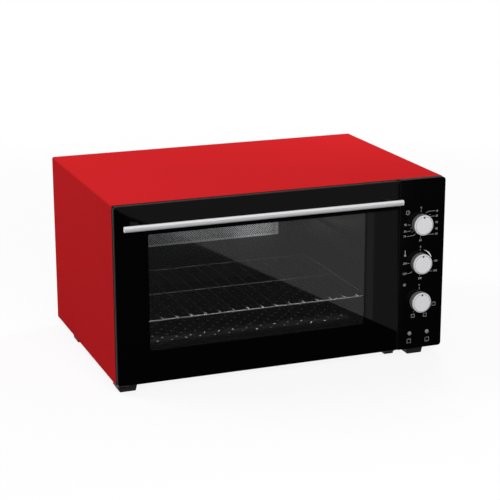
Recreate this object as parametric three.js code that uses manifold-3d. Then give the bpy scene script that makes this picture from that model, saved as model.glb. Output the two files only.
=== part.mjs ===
// Table-top electric oven: a sheet-steel casing round a steel liner, a glass door hinged at its foot,
// and a control strip with three knobs on its right.
// Millimetres. Inside the file x runs from the casing's left side, y back from its front edge and
// z up from its underside; the last lines move that to the middle of the footprint, on the table.
import * as THREE from 'three';
import { mergeVertices } from 'three/addons/utils/BufferGeometryUtils.js';
import Module from 'manifold-3d';

const wasm = await Module();
wasm.setup();

// Driving dimensions
const casingWidth = 560;
const casingDepth = 367;
const casingHeight = 288;
const casingCornerRadius = 3.2;
const casingReturn = 14; // flange turned in under the casing
const sheet = 0.6; // gauge of the casing, base, back, liner and front frame
const seat = 0.3; // gap where one piece rests on another
const frontDepth = 11.4; // door and control strip, out from the casing's front edge
const frontCornerRadius = 5;
const doorGap = 0.7; // between the closed door's back and the casing's front edge
const controlWidth = 80;
const seam = 0.8; // between door and control strip
const footHeight = 14;
const handleReach = 28; // glass face to the front of the handle bar
const cutOverrun = 2; // how far a cutting tool runs past what it cuts
const rodSides = 16;
const wireSides = 8;
const arcSteps = 5;

// Where the main pieces lie
const doorSpan = casingWidth - controlWidth; // the door with half the seam beside it
const doorWidth = doorSpan - seam / 2;
const controlLeft = doorWidth + seam;
const glassFace = -frontDepth;
const frameFront = seat;
const frameBack = frameFront + sheet;
const innerLeft = sheet + seat;
const innerRight = casingWidth - innerLeft;
const innerTop = casingHeight - innerLeft;
const innerCorner = casingCornerRadius - sheet;
const baseTop = sheet + seat + sheet;

// Solids

function solidOf(geometry) {
  const bare = geometry.clone();
  bare.deleteAttribute('normal');
  bare.deleteAttribute('uv');
  const merged = mergeVertices(bare);
  const corners = [];
  const index = merged.index.array;
  for (let i = 0; i < index.length; i += 3) {
    const [a, b, c] = [index[i], index[i + 1], index[i + 2]];
    if (a !== b && b !== c && c !== a) {
      corners.push(a, b, c);
    }
  }
  const mesh = new wasm.Mesh({
    numProp: 3,
    vertProperties: merged.attributes.position.array,
    triVerts: new Uint32Array(corners),
  });
  return new wasm.Manifold(mesh);
}

function join(first, ...others) {
  return others.reduce((sum, other) => sum.add(other), first);
}

function cut(first, ...others) {
  return others.reduce((rest, other) => rest.subtract(other), first);
}

function block(left, right, front, back, low, high) {
  const box = new THREE.BoxGeometry(right - left, back - front, high - low);
  box.translate((left + right) / 2, (front + back) / 2, (low + high) / 2);
  return solidOf(box);
}

// A rod along an axis: at holds the other two coordinates, in x, y, z order.
function rodX(radius, at, left, right, sides = rodSides) {
  const rod = new THREE.CylinderGeometry(radius, radius, right - left, sides);
  rod.rotateZ(-Math.PI / 2);
  rod.translate((left + right) / 2, at[0], at[1]);
  return solidOf(rod);
}

function rodY(radius, at, front, back, sides = rodSides) {
  const rod = new THREE.CylinderGeometry(radius, radius, back - front, sides);
  rod.translate(at[0], (front + back) / 2, at[1]);
  return solidOf(rod);
}

function rodZ(radius, at, low, high, sides = rodSides) {
  const rod = new THREE.CylinderGeometry(radius, radius, high - low, sides);
  rod.rotateX(Math.PI / 2);
  rod.translate(at[0], at[1], (low + high) / 2);
  return solidOf(rod);
}

function roundedOutline(left, right, low, high, radii) {
  const [lowLeft, lowRight, highRight, highLeft] = radii;
  const corners = [
    [right - lowRight, low + lowRight, lowRight],
    [right - highRight, high - highRight, highRight],
    [left + highLeft, high - highLeft, highLeft],
    [left + lowLeft, low + lowLeft, lowLeft],
  ];
  const outline = new THREE.Shape();
  outline.moveTo(left + lowLeft, low);
  corners.forEach(([across, up, radius], i) => {
    const start = ((i - 1) * Math.PI) / 2;
    const [toX, toY] = [Math.round(Math.cos(start)), Math.round(Math.sin(start))];
    outline.lineTo(across + radius * toX, up + radius * toY);
    if (radius > 0) {
      outline.absarc(across, up, radius, start, start + Math.PI / 2, false);
    }
  });
  return outline;
}

function roundedSquare(left, right, low, high, radius) {
  return roundedOutline(left, right, low, high, [radius, radius, radius, radius]);
}

const along = {
  x: new THREE.Vector3(1, 0, 0),
  y: new THREE.Vector3(0, 1, 0),
  z: new THREE.Vector3(0, 0, 1),
};

// A plate across an axis. Its outline is drawn in the other two coordinates.
function plateX(outline, left, right) {
  const plate = new THREE.ExtrudeGeometry(outline, {
    depth: right - left, bevelEnabled: false, curveSegments: arcSteps,
  });
  plate.applyMatrix4(new THREE.Matrix4().makeBasis(along.y, along.z, along.x));
  plate.translate(left, 0, 0);
  return solidOf(plate);
}

function plateY(outline, front, back) {
  const plate = new THREE.ExtrudeGeometry(outline, {
    depth: back - front, bevelEnabled: false, curveSegments: arcSteps,
  });
  plate.applyMatrix4(new THREE.Matrix4().makeBasis(along.x, along.z, along.y.clone().negate()));
  plate.translate(0, back, 0);
  return solidOf(plate);
}

function plateZ(outline, low, high) {
  const plate = new THREE.ExtrudeGeometry(outline, {
    depth: high - low, bevelEnabled: false, curveSegments: arcSteps,
  });
  plate.translate(0, 0, low);
  return solidOf(plate);
}

// A round bar bent along corner points.
function bentBar(points, radius, bend, sides, steps) {
  const route = new THREE.CurvePath();
  let from = points[0];
  for (let i = 1; i < points.length - 1; i += 1) {
    const corner = points[i];
    const towardsLast = points[i - 1].clone().sub(corner).setLength(bend).add(corner);
    const towardsNext = points[i + 1].clone().sub(corner).setLength(bend).add(corner);
    route.add(new THREE.LineCurve3(from, towardsLast));
    route.add(new THREE.QuadraticBezierCurve3(towardsLast, corner, towardsNext));
    from = towardsNext;
  }
  route.add(new THREE.LineCurve3(from, points[points.length - 1]));
  const section = new THREE.Shape();
  for (let i = 0; i < sides; i += 1) {
    const angle = (2 * Math.PI * i) / sides;
    const [across, up] = [radius * Math.cos(angle), radius * Math.sin(angle)];
    if (i === 0) {
      section.moveTo(across, up);
    } else {
      section.lineTo(across, up);
    }
  }
  return solidOf(new THREE.ExtrudeGeometry(section, {
    steps, extrudePath: route, bevelEnabled: false,
  }));
}

// A turned piece about the y axis: the profile holds [radius, y] pairs.
function turnedY(profile, x, z, sides) {
  const points = profile.map(([radius, y]) => new THREE.Vector2(radius, y));
  const turned = new THREE.LatheGeometry(points, sides);
  turned.translate(x, 0, z);
  return solidOf(turned);
}

// Places across the door are measured in from its left end, and mirrored for the right.
function acrossDoor(side, near, far) {
  return side === 'left' ? [near, far] : [doorSpan - far, doorSpan - near];
}

// Casing, base and back

function outerCasing() {
  const corner = casingCornerRadius;
  const outside = roundedOutline(0, casingWidth, 0, casingHeight, [sheet, sheet, corner, corner]);
  const inside = roundedOutline(
    sheet, casingWidth - sheet, sheet, casingHeight - sheet, [0, 0, innerCorner, innerCorner],
  );
  const past = casingDepth + cutOverrun;
  const mouth = block(
    casingReturn, casingWidth - casingReturn, -cutOverrun, past, -cutOverrun, sheet + cutOverrun,
  );
  return cut(plateY(outside, 0, casingDepth), plateY(inside, -cutOverrun, past), mouth);
}

const spring = { coilRadius: 4, wire: 1.1, coilLength: 128, hookLength: 7 };
const arm = {
  fromEnd: 24, thickness: 2.5, height: 4.6, length: 95, pinRadius: 1.3, pinHeight: 44,
  pinSetback: -4.6, eyeRadius: 1.1, eyeFromEnd: 4,
};
const armEyeBack = arm.pinSetback + arm.length - arm.eyeFromEnd;
const springEnd = armEyeBack + arm.eyeRadius + 2 * spring.hookLength + spring.coilLength;
const anchor = { thickness: 2, width: 10, rise: 6, eyeRadius: 1.6 };
const anchorEye = springEnd + anchor.eyeRadius;

const rearPanelInset = 4;
const baseVent = { count: 7, slotWidth: 4, pitch: 9, length: 60, fromFront: 190 };

function basePanel() {
  const front = frameBack + seat;
  const back = casingDepth - rearPanelInset - seat - sheet;
  const low = sheet + seat;
  const plate = block(innerLeft, innerRight, front, back, low, baseTop);
  const anchors = ['left', 'right'].map((side) => {
    const middle = arm.fromEnd + arm.thickness / 2;
    const half = anchor.thickness / 2;
    const [left, right] = acrossDoor(side, middle - half, middle + half);
    const tab = block(
      left, right, anchorEye - anchor.width / 2, anchorEye + anchor.width / 2,
      low, arm.pinHeight + anchor.rise,
    );
    const eye = rodX(
      anchor.eyeRadius, [anchorEye, arm.pinHeight], left - cutOverrun, right + cutOverrun,
    );
    return cut(tab, eye);
  });
  const slots = [];
  for (let i = 0; i < baseVent.count; i += 1) {
    const left = controlLeft - seam + baseVent.pitch * (i + 1 / 2);
    slots.push(block(
      left, left + baseVent.slotWidth, baseVent.fromFront, baseVent.fromFront + baseVent.length,
      low - cutOverrun, baseTop + cutOverrun,
    ));
  }
  return cut(join(plate, ...anchors), ...slots);
}

const rearVent = { count: 12, columns: 3, slotHeight: 4, pitch: 10, width: 70, fromTop: 34, gap: 22 };
const gland = {
  fromRight: 40, height: 44, boreRadius: 4.5, neckRadius: 7.5, flangeRadius: 12, flange: 3,
  neckLength: 9, nutRadius: 11, nut: 5, clearance: 0.5, reach: 3,
};
const glandX = casingWidth - gland.fromRight;

function rearPanel() {
  const back = casingDepth - rearPanelInset;
  const low = baseTop + seat;
  const outline = roundedOutline(innerLeft, innerRight, low, innerTop, [0, 0, innerCorner, innerCorner]);
  const past = [back - sheet - cutOverrun, back + cutOverrun];
  const cuts = [rodY(gland.neckRadius + gland.clearance, [glandX, gland.height], ...past)];
  const span = rearVent.columns * rearVent.width + (rearVent.columns - 1) * rearVent.gap;
  for (let column = 0; column < rearVent.columns; column += 1) {
    const left = (casingWidth - span) / 2 + column * (rearVent.width + rearVent.gap);
    for (let row = 0; row < rearVent.count; row += 1) {
      const top = casingHeight - rearVent.fromTop - row * rearVent.pitch;
      cuts.push(block(left, left + rearVent.width, ...past, top - rearVent.slotHeight, top));
    }
  }
  return cut(plateY(outline, back - sheet, back), ...cuts);
}

function cableGland() {
  const panelBack = casingDepth - rearPanelInset;
  const panelFront = panelBack - sheet;
  const flangeFront = panelBack + seat;
  const tip = casingDepth + gland.reach;
  const nutBack = panelFront - seat;
  const nutFront = nutBack - gland.nut;
  return turnedY([
    [gland.boreRadius, nutFront],
    [gland.nutRadius, nutFront],
    [gland.nutRadius, nutBack],
    [gland.neckRadius, nutBack],
    [gland.neckRadius, flangeFront],
    [gland.flangeRadius, flangeFront],
    [gland.flangeRadius, flangeFront + gland.flange],
    [gland.neckRadius, tip],
    [gland.boreRadius, tip],
    [gland.boreRadius, nutFront],
  ], glandX, gland.height, rodSides);
}

// Liner: the enamelled box that food goes into

const cavity = {
  sideSpace: 40, floor: 25, topSpace: 23, backSpace: 28, front: frameBack + seat, flange: 10,
};
const cavityLeft = cavity.sideSpace;
const cavityRight = doorSpan - cavity.sideSpace;
const cavityTop = casingHeight - cavity.topSpace;
const cavityBack = casingDepth - cavity.backSpace;
const shelf = {
  first: 24, pitch: 41, headroom: 70, reach: 8, height: 6, taper: 2, fromFront: 10, fromBack: 9,
};
const shelfRise = cavityTop - cavity.floor - shelf.first - shelf.headroom;
const shelfCount = 1 + Math.floor(shelfRise / shelf.pitch);

const element = {
  radius: 3.3, bend: 24, fromCeiling: 14, fromFloor: 7, firstRun: 88, secondRun: 250,
  fromLeft: 42, outside: 20, holeClearance: 1.2, steps: 44,
};
const elementHeights = {
  top: cavityTop - element.fromCeiling,
  bottom: cavity.floor + element.fromFloor,
};
const bulb = { radius: 3, length: 90, fromFront: 60, fromCeiling: 43, capillaryRadius: 1 };
const bulbX = cavityRight - seat - bulb.radius;
const bulbZ = cavityTop - bulb.fromCeiling;
const bulbEntry = cavity.front + bulb.fromFront + bulb.length + seat + bulb.radius;

// Support ribs are pressed into the side walls, so the wall's outside is hollow behind each one.
function ribOutline(side, wall, level, inset) {
  const inward = side === 'left' ? 1 : -1;
  const top = level - inset;
  const low = level - shelf.height + inset;
  const root = wall - inward * (inset ? sheet + cutOverrun : 0);
  const nose = wall + inward * (shelf.reach - inset);
  const outline = new THREE.Shape();
  const corners = [[root, low - shelf.taper], [nose, low], [nose, top], [root, top]];
  const ordered = side === 'left' ? corners : corners.reverse();
  ordered.forEach(([x, z], i) => (i === 0 ? outline.moveTo(x, z) : outline.lineTo(x, z)));
  return outline;
}

function cavityLiner() {
  const [left, right, low, high] = [cavityLeft, cavityRight, cavity.floor, cavityTop];
  const shell = block(
    left - sheet, right + sheet, cavity.front, cavityBack + sheet, low - sheet, high + sheet,
  );
  const flange = block(
    left - cavity.flange, right + cavity.flange, cavity.front, cavity.front + sheet,
    low - cavity.flange, high + cavity.flange,
  );
  const room = block(left, right, cavity.front - cutOverrun, cavityBack, low, high);
  let liner = cut(join(shell, flange), room);
  const ribFront = cavity.front + shelf.fromFront;
  const ribBack = cavityBack - shelf.fromBack;
  for (const side of ['left', 'right']) {
    const wall = side === 'left' ? left : right;
    for (let i = 0; i < shelfCount; i += 1) {
      const level = low + shelf.first + i * shelf.pitch;
      const hollow = plateY(ribOutline(side, wall, level, sheet), ribFront + sheet, ribBack - sheet);
      liner = liner.add(plateY(ribOutline(side, wall, level, 0), ribFront, ribBack));
      liner = liner.subtract(hollow);
    }
  }
  const holes = [];
  const past = [right - cutOverrun, right + sheet + cutOverrun];
  for (const z of Object.values(elementHeights)) {
    for (const y of [element.firstRun, element.secondRun]) {
      holes.push(rodX(element.radius + element.holeClearance, [y, z], ...past));
    }
  }
  const capillaryHole = bulb.capillaryRadius + element.holeClearance;
  holes.push(rodX(capillaryHole, [bulbEntry, bulbZ], ...past, wireSides));
  return cut(liner, ...holes);
}

// Finely perforated sheet in front of the back wall's upper part. Its holes are too fine for the solid.
const meshSheet = { side: 32, fromFloor: 93, fromCeiling: 24 };

function rearMeshPanel() {
  const back = cavityBack - seat;
  return block(
    cavityLeft + meshSheet.side, cavityRight - meshSheet.side, back - sheet, back,
    cavity.floor + meshSheet.fromFloor, cavityTop - meshSheet.fromCeiling,
  );
}

// Front frame: the plate that the door closes on, and that carries the controls

const control = { fromRight: 43, shaftHole: 5, fromTop: 75, fromBottom: 81.6 };
const knobPitch = (casingHeight - control.fromTop - control.fromBottom) / 2;
const knobX = casingWidth - control.fromRight;
const timerZ = casingHeight - control.fromTop;
const knobHeights = {
  timer: timerZ,
  thermostat: timerZ - knobPitch,
  selector: timerZ - 2 * knobPitch,
};
const lamp = {
  radius: 3.5, height: 26.5, pitch: 32, shift: 1, stand: 0.8, collarRadius: 5, collar: 4,
  bodyRadius: 3, bodyBack: 9, clearance: 0.4,
};
const lampPlaces = {
  power_lamp: knobX + lamp.shift - lamp.pitch / 2,
  heating_lamp: knobX + lamp.shift + lamp.pitch / 2,
};
// The arm's slot in the front frame spans low to high; in the door it runs below and above the pin.
const armSlot = { clearance: 1.5, low: 24, high: 50, below: 18.4, above: 7 };
const frameReturn = 10;

function frontFrame() {
  const low = baseTop + seat;
  const outline = roundedOutline(innerLeft, innerRight, low, innerTop, [0, 0, innerCorner, innerCorner]);
  const outer = plateY(outline, frameFront, frameBack + frameReturn);
  const hollow = block(
    innerLeft + sheet, innerRight - sheet, frameBack, frameBack + frameReturn + cutOverrun,
    low + sheet, innerTop - sheet,
  );
  const past = [frameFront - cutOverrun, frameBack + frameReturn + cutOverrun];
  const cuts = [hollow, block(cavityLeft, cavityRight, ...past, cavity.floor, cavityTop)];
  for (const side of ['left', 'right']) {
    const [left, right] = acrossDoor(
      side, arm.fromEnd - armSlot.clearance, arm.fromEnd + arm.thickness + armSlot.clearance,
    );
    cuts.push(block(left, right, ...past, armSlot.low, armSlot.high));
  }
  for (const z of Object.values(knobHeights)) {
    cuts.push(rodY(control.shaftHole, [knobX, z], ...past));
  }
  for (const x of Object.values(lampPlaces)) {
    cuts.push(rodY(lamp.bodyRadius + lamp.clearance, [x, lamp.height], ...past));
  }
  return cut(outer, ...cuts);
}

// Control strip, knobs, lamps and the switches behind them

const strip = { wall: 2, front: 3.4, shaftClearance: 0.8 };
const innerCornerShare = 0.2; // of the front's corner radius, beside the seam
const shaft = { radius: 3, inBody: 10, boreClearance: 0.3 };

function controlPanel() {
  const corner = frontCornerRadius;
  const inner = innerCornerShare * corner;
  const outside = roundedOutline(
    controlLeft, casingWidth, 0, casingHeight, [inner, corner, corner, inner],
  );
  const wall = strip.wall;
  const hollow = block(
    controlLeft + wall, casingWidth - wall, glassFace + strip.front, cutOverrun,
    wall, casingHeight - wall,
  );
  const past = [glassFace - cutOverrun, glassFace + strip.front + cutOverrun];
  const shafts = Object.values(knobHeights).map(
    (z) => rodY(shaft.radius + strip.shaftClearance, [knobX, z], ...past),
  );
  const lamps = Object.values(lampPlaces).map(
    (x) => rodY(lamp.radius + lamp.clearance, [x, lamp.height], ...past),
  );
  return cut(plateY(outside, glassFace, -seat), hollow, ...shafts, ...lamps);
}

const knob = {
  radius: 17, stand: 0.6, reach: 13.1, bevel: 1.4, crown: 0.3, dotRadius: 1.25, dotDepth: 0.5,
  dotFromRim: 4.1, boreDepth: 9, sides: 40,
};
const knobFace = glassFace - knob.reach;
const knobBack = glassFace - knob.stand;

function controlKnob(z) {
  const turned = turnedY([
    [0, knobFace],
    [knob.radius - knob.bevel, knobFace + knob.crown],
    [knob.radius, knobFace + knob.crown + knob.bevel],
    [knob.radius, knobBack],
    [0, knobBack],
  ], knobX, z, knob.sides);
  const bore = rodY(
    shaft.radius + shaft.boreClearance, [knobX, z], knobBack - knob.boreDepth, knobBack + cutOverrun,
  );
  const dot = rodY(
    knob.dotRadius, [knobX, z + knob.radius - knob.dotFromRim],
    knobFace - cutOverrun, knobFace + knob.crown + knob.dotDepth,
  );
  return cut(turned, bore, dot);
}

// Each switch body is as wide as the knobs' pitch, less its clearance at both sides.
const switches = {
  timer: { clearance: 10, depth: 32 },
  thermostat: { clearance: 12.5, depth: 26 },
  selector: { clearance: 15.5, depth: 38 },
};
const switchFront = frameBack + seat;

function controlShaft(z) {
  const front = knobBack - knob.boreDepth + seat;
  return rodY(shaft.radius, [knobX, z], front, switchFront + shaft.inBody - seat);
}

function switchHalf(name) {
  return knobPitch / 2 - switches[name].clearance;
}

function switchBody(name, z) {
  const half = switchHalf(name);
  const outline = roundedSquare(knobX - half, knobX + half, z - half, z + half, half / 8);
  const bore = rodY(
    shaft.radius + shaft.boreClearance, [knobX, z], switchFront - cutOverrun, switchFront + shaft.inBody,
  );
  return cut(plateY(outline, switchFront, switchFront + switches[name].depth), bore);
}

function indicatorLamp(x) {
  const collarFront = glassFace + strip.front + seat;
  return turnedY([
    [0, glassFace - lamp.stand],
    [lamp.radius - lamp.stand, glassFace - lamp.stand],
    [lamp.radius, glassFace],
    [lamp.radius, collarFront],
    [lamp.collarRadius, collarFront],
    [lamp.collarRadius, collarFront + lamp.collar],
    [lamp.bodyRadius, collarFront + lamp.collar],
    [lamp.bodyRadius, lamp.bodyBack],
    [0, lamp.bodyBack],
  ], x, lamp.height, rodSides);
}

const capillary = { bend: 9, standOff: 16, steps: 40, sides: 6 };

function capillaryTube() {
  const start = switchFront + switches.thermostat.depth + seat;
  const outsideWall = cavityRight + sheet + capillary.standOff;
  const back = bulbEntry;
  const points = [
    [knobX, start, knobHeights.thermostat],
    [knobX, start + capillary.standOff, knobHeights.thermostat],
    [outsideWall, start + capillary.standOff, knobHeights.thermostat],
    [outsideWall, start + capillary.standOff, bulbZ],
    [outsideWall, back, bulbZ],
    [cavityRight - seat, back, bulbZ],
  ].map(([x, y, z]) => new THREE.Vector3(x, y, z));
  return bentBar(points, bulb.capillaryRadius, capillary.bend, capillary.sides, capillary.steps);
}

function thermostatBulb() {
  const front = cavity.front + bulb.fromFront;
  const back = front + bulb.length;
  const entry = rodY(bulb.capillaryRadius, [bulbX, bulbZ], back - seat, bulbEntry + bulb.capillaryRadius);
  return join(rodY(bulb.radius, [bulbX, bulbZ], front, back), entry);
}

// Heating elements: a bent tube near the ceiling and one near the floor

function heatingElement(z) {
  const left = cavityLeft + element.fromLeft;
  const right = cavityRight + sheet + element.outside;
  const points = [
    [right, element.firstRun, z],
    [left, element.firstRun, z],
    [left, element.secondRun, z],
    [right, element.secondRun, z],
  ].map(([x, y, height]) => new THREE.Vector3(x, y, height));
  return bentBar(points, element.radius, element.bend, wireSides, element.steps);
}

const flangePlate = { margin: 12, half: 9, thickness: 2, holeClearance: 0.7 };

function elementFlange(z) {
  const left = cavityRight + sheet + seat;
  const right = left + flangePlate.thickness;
  const plate = block(
    left, right, element.firstRun - flangePlate.margin, element.secondRun + flangePlate.margin,
    z - flangePlate.half, z + flangePlate.half,
  );
  const holes = [element.firstRun, element.secondRun].map((y) => rodX(
    element.radius + flangePlate.holeClearance, [y, z], left - cutOverrun, right + cutOverrun,
  ));
  return cut(plate, ...holes);
}

const clip = { width: 9, length: 12, wrap: 2, holeClearance: 0.6 };

// The clip hangs from the ceiling, or stands on the floor, and wraps the element's cross run.
function elementClip(z, wall) {
  const middleX = cavityLeft + element.fromLeft;
  const middleY = (element.firstRun + element.secondRun) / 2;
  const around = element.radius + clip.holeClearance;
  const reach = around + clip.wrap;
  const [low, high] = wall > z ? [z - reach, wall - seat] : [wall + seat, z + reach];
  const half = clip.length / 2;
  const body = block(
    middleX - clip.width, middleX + clip.width, middleY - half, middleY + half, low, high,
  );
  return cut(body, rodY(around, [middleX, z], middleY - clip.length, middleY + clip.length));
}

// Terminal block and the loom up to the switches

const terminals = { width: 34, depth: 24, height: 18, fromBack: 46, screwRadius: 2.2, count: 3 };
const terminalRight = glandX + terminals.width / 2;

function terminalBlock() {
  const back = casingDepth - terminals.fromBack;
  const low = baseTop + seat;
  const left = terminalRight - terminals.width;
  const body = block(left, terminalRight, back - terminals.depth, back, low, low + terminals.height);
  const wells = [];
  for (let i = 0; i < terminals.count; i += 1) {
    const x = left + (terminals.width * (i + 1 / 2)) / terminals.count;
    wells.push(rodZ(
      terminals.screwRadius, [x, back - terminals.depth / 2], low + terminals.height / 2,
      low + terminals.height + cutOverrun,
    ));
  }
  return cut(body, ...wells);
}

const loom = { radius: 3, bend: 16, steps: 30 };

function wiringLoom() {
  const x = knobX + switchHalf('timer') + seat + loom.radius;
  const fromBlock = casingDepth - terminals.fromBack - terminals.depth - seat;
  const low = baseTop + seat + loom.radius;
  const front = switchFront + switches.timer.depth / 2;
  const points = [
    [terminalRight - loom.radius, fromBlock, low],
    [terminalRight - loom.radius, fromBlock - 2 * loom.bend, low],
    [x, fromBlock - 4 * loom.bend, low],
    [x, front, low],
    [x, front, knobHeights.timer],
  ].map(([across, y, z]) => new THREE.Vector3(across, y, z));
  return bentBar(points, loom.radius, loom.bend, wireSides, loom.steps);
}

// Door: outer glass, pressed steel frame, inner glass, handle and hinge plates

const glassThickness = 4;
const glassEdge = 0.4; // glass edge in from the casing's outline
const windowMargin = { left: 55.5, right: 62.5, low: 53, high: 48 };
const windowEdge = {
  left: windowMargin.left,
  right: doorSpan - windowMargin.right,
  low: windowMargin.low,
  high: casingHeight - windowMargin.high,
};
const doorFrame = { wall: 0.8, inset: 0.8, sightline: 4 };
const innerGlass = { thickness: 3, overlap: 9 };
const glassBack = glassFace + glassThickness;
const doorFrameFront = glassBack + seat;
const doorFrameBack = -doorGap;
const doorPlateFront = doorFrameBack - doorFrame.wall;

const handle = {
  fromLeft: 9, fromSeam: 7.5, fromTop: 30, height: 9.2, depth: 7, corner: 3.4,
  postInset: 22, postHalf: 6, postHeight: 8,
};
const handleLeft = handle.fromLeft;
const handleRight = doorSpan - handle.fromSeam;
const handleMiddle = casingHeight - handle.fromTop;
const barBack = glassFace - handleReach + handle.depth;
const handleScrew = { radius: 2, headRadius: 4, head: 2.4, reach: 12, clearance: 0.4 };
const postCentres = {
  left: handleLeft + handle.postInset,
  right: handleRight - handle.postInset,
};

const hinge = {
  setback: -3.7, eyeRadius: 3.1, earRadius: 3.4, earDrop: 7.5, pinRadius: 1.5, pinClearance: 0.25,
  fromEnd: 3, width: 16, ear: 2.5, sideGap: 0.5, bracketDepth: 26, bracketSheet: 1.5, notch: 1.2,
  leaf: 1.2, leafTop: 58, leafSide: 30,
};
const pivotHeight = 0;

function doorOuterGlass() {
  const corner = frontCornerRadius;
  const inner = innerCornerShare * corner;
  const outline = roundedOutline(
    glassEdge, doorWidth, glassEdge, casingHeight - glassEdge, [corner, inner, inner, corner],
  );
  const past = [glassFace - cutOverrun, glassBack + cutOverrun];
  const holes = Object.values(postCentres).map(
    (x) => rodY(handleScrew.radius + handleScrew.clearance, [x, handleMiddle], ...past),
  );
  return cut(plateY(outline, glassFace, glassBack), ...holes);
}

function doorFrameShell() {
  const inset = glassEdge + doorFrame.inset;
  const corner = frontCornerRadius - doorFrame.inset;
  const wall = doorFrame.wall;
  const outside = roundedOutline(
    inset, doorWidth - doorFrame.inset, inset, casingHeight - inset, [corner, corner, corner, corner],
  );
  const pocket = block(
    inset + wall, doorWidth - doorFrame.inset - wall, doorFrameFront - cutOverrun, doorPlateFront,
    inset + wall, casingHeight - inset - wall,
  );
  const sight = doorFrame.sightline;
  const past = [doorPlateFront - cutOverrun, doorFrameBack + cutOverrun];
  const cuts = [pocket, block(
    windowEdge.left - sight, windowEdge.right + sight, ...past,
    windowEdge.low - sight, windowEdge.high + sight,
  )];
  for (const x of Object.values(postCentres)) {
    cuts.push(rodY(handleScrew.headRadius + handleScrew.clearance, [x, handleMiddle], ...past));
  }
  for (const side of ['left', 'right']) {
    const slot = acrossDoor(
      side, arm.fromEnd - armSlot.clearance, arm.fromEnd + arm.thickness + armSlot.clearance,
    );
    cuts.push(block(...slot, ...past, arm.pinHeight - armSlot.below, arm.pinHeight + armSlot.above));
    const notch = acrossDoor(
      side, hinge.fromEnd - hinge.notch, hinge.fromEnd + hinge.width + hinge.notch,
    );
    cuts.push(block(
      ...notch, doorFrameFront - cutOverrun, doorFrameBack + cutOverrun, -cutOverrun,
      pivotHeight + hinge.earRadius + hinge.notch,
    ));
  }
  return cut(plateY(outside, doorFrameFront, doorFrameBack), ...cuts);
}

function doorInnerGlass() {
  const margin = doorFrame.sightline + innerGlass.overlap;
  const back = doorPlateFront - seat;
  const outline = roundedSquare(
    windowEdge.left - margin, windowEdge.right + margin,
    windowEdge.low - margin, windowEdge.high + margin, frontCornerRadius,
  );
  return plateY(outline, back - innerGlass.thickness, back);
}

function handleBar() {
  const front = glassFace - handleReach;
  const outline = roundedSquare(
    front, barBack, handleMiddle - handle.height / 2, handleMiddle + handle.height / 2,
    handle.corner,
  );
  return plateX(outline, handleLeft, handleRight);
}

function handlePost(side) {
  const x = postCentres[side];
  const half = handle.postHalf;
  const rise = handle.postHeight / 2;
  const outline = roundedSquare(x - half, x + half, handleMiddle - rise, handleMiddle + rise, half / 4);
  const back = glassFace - seat;
  const bore = rodY(
    handleScrew.radius + handleScrew.clearance, [x, handleMiddle],
    back - handleScrew.reach, back + cutOverrun,
  );
  return cut(plateY(outline, barBack + seat, back), bore);
}

function handleFixing(side) {
  const at = [postCentres[side], handleMiddle];
  const headFront = glassBack + seat;
  const tip = glassFace - handleScrew.reach;
  const shank = rodY(handleScrew.radius, at, tip, headFront + handleScrew.head / 2);
  return join(shank, rodY(handleScrew.headRadius, at, headFront, headFront + handleScrew.head));
}

// The plate riveted inside the door frame: its eye turns on the hinge pin, its cheeks carry the arm.
function doorHingePlate(side) {
  const leafBack = doorPlateFront - seat;
  const leafFront = leafBack - hinge.leaf;
  const eyeInset = hinge.ear + hinge.sideGap;
  const [eyeNear, eyeFar] = [hinge.fromEnd + eyeInset, hinge.fromEnd + hinge.width - eyeInset];
  const [eyeLeft, eyeRight] = acrossDoor(side, eyeNear, eyeFar);
  const [leafLeft, leafRight] = acrossDoor(side, eyeNear, hinge.leafSide);
  const wide = pivotHeight + hinge.earRadius + 2 * hinge.notch + hinge.leaf;
  const pivot = [hinge.setback, pivotHeight];
  const eye = rodX(hinge.eyeRadius, pivot, eyeLeft, eyeRight);
  const neck = block(eyeLeft, eyeRight, leafFront, leafBack, pivotHeight, wide + hinge.leaf);
  const leaf = block(leafLeft, leafRight, leafFront, leafBack, wide, hinge.leafTop);
  const cheekGap = armSlot.clearance / 2;
  const cheeks = [
    [arm.fromEnd - cheekGap - hinge.leaf, arm.fromEnd - cheekGap],
    [arm.fromEnd + arm.thickness + cheekGap, arm.fromEnd + arm.thickness + cheekGap + hinge.leaf],
  ].map(([near, far]) => block(
    ...acrossDoor(side, near, far), doorFrameFront + seat, leafBack,
    arm.pinHeight - armSlot.above, arm.pinHeight + armSlot.above,
  ));
  const [slotLeft, slotRight] = acrossDoor(
    side, arm.fromEnd - cheekGap, arm.fromEnd + arm.thickness + cheekGap,
  );
  const slot = block(
    slotLeft, slotRight, leafFront - cutOverrun, leafBack + cutOverrun,
    arm.pinHeight - armSlot.below, arm.pinHeight + armSlot.above,
  );
  const bore = rodX(
    hinge.pinRadius + hinge.pinClearance, pivot, eyeLeft - cutOverrun, eyeRight + cutOverrun,
  );
  const pinHole = rodX(
    arm.pinRadius + hinge.pinClearance, [arm.pinSetback, arm.pinHeight], slotLeft - 2 * hinge.leaf,
    slotRight + 2 * hinge.leaf,
  );
  return cut(join(eye, neck, leaf, ...cheeks), bore, slot, pinHole);
}

function armPin(side) {
  const reach = armSlot.clearance / 2 + hinge.leaf + seat;
  return rodX(
    arm.pinRadius, [arm.pinSetback, arm.pinHeight],
    ...acrossDoor(side, arm.fromEnd - reach, arm.fromEnd + arm.thickness + reach),
  );
}

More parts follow.
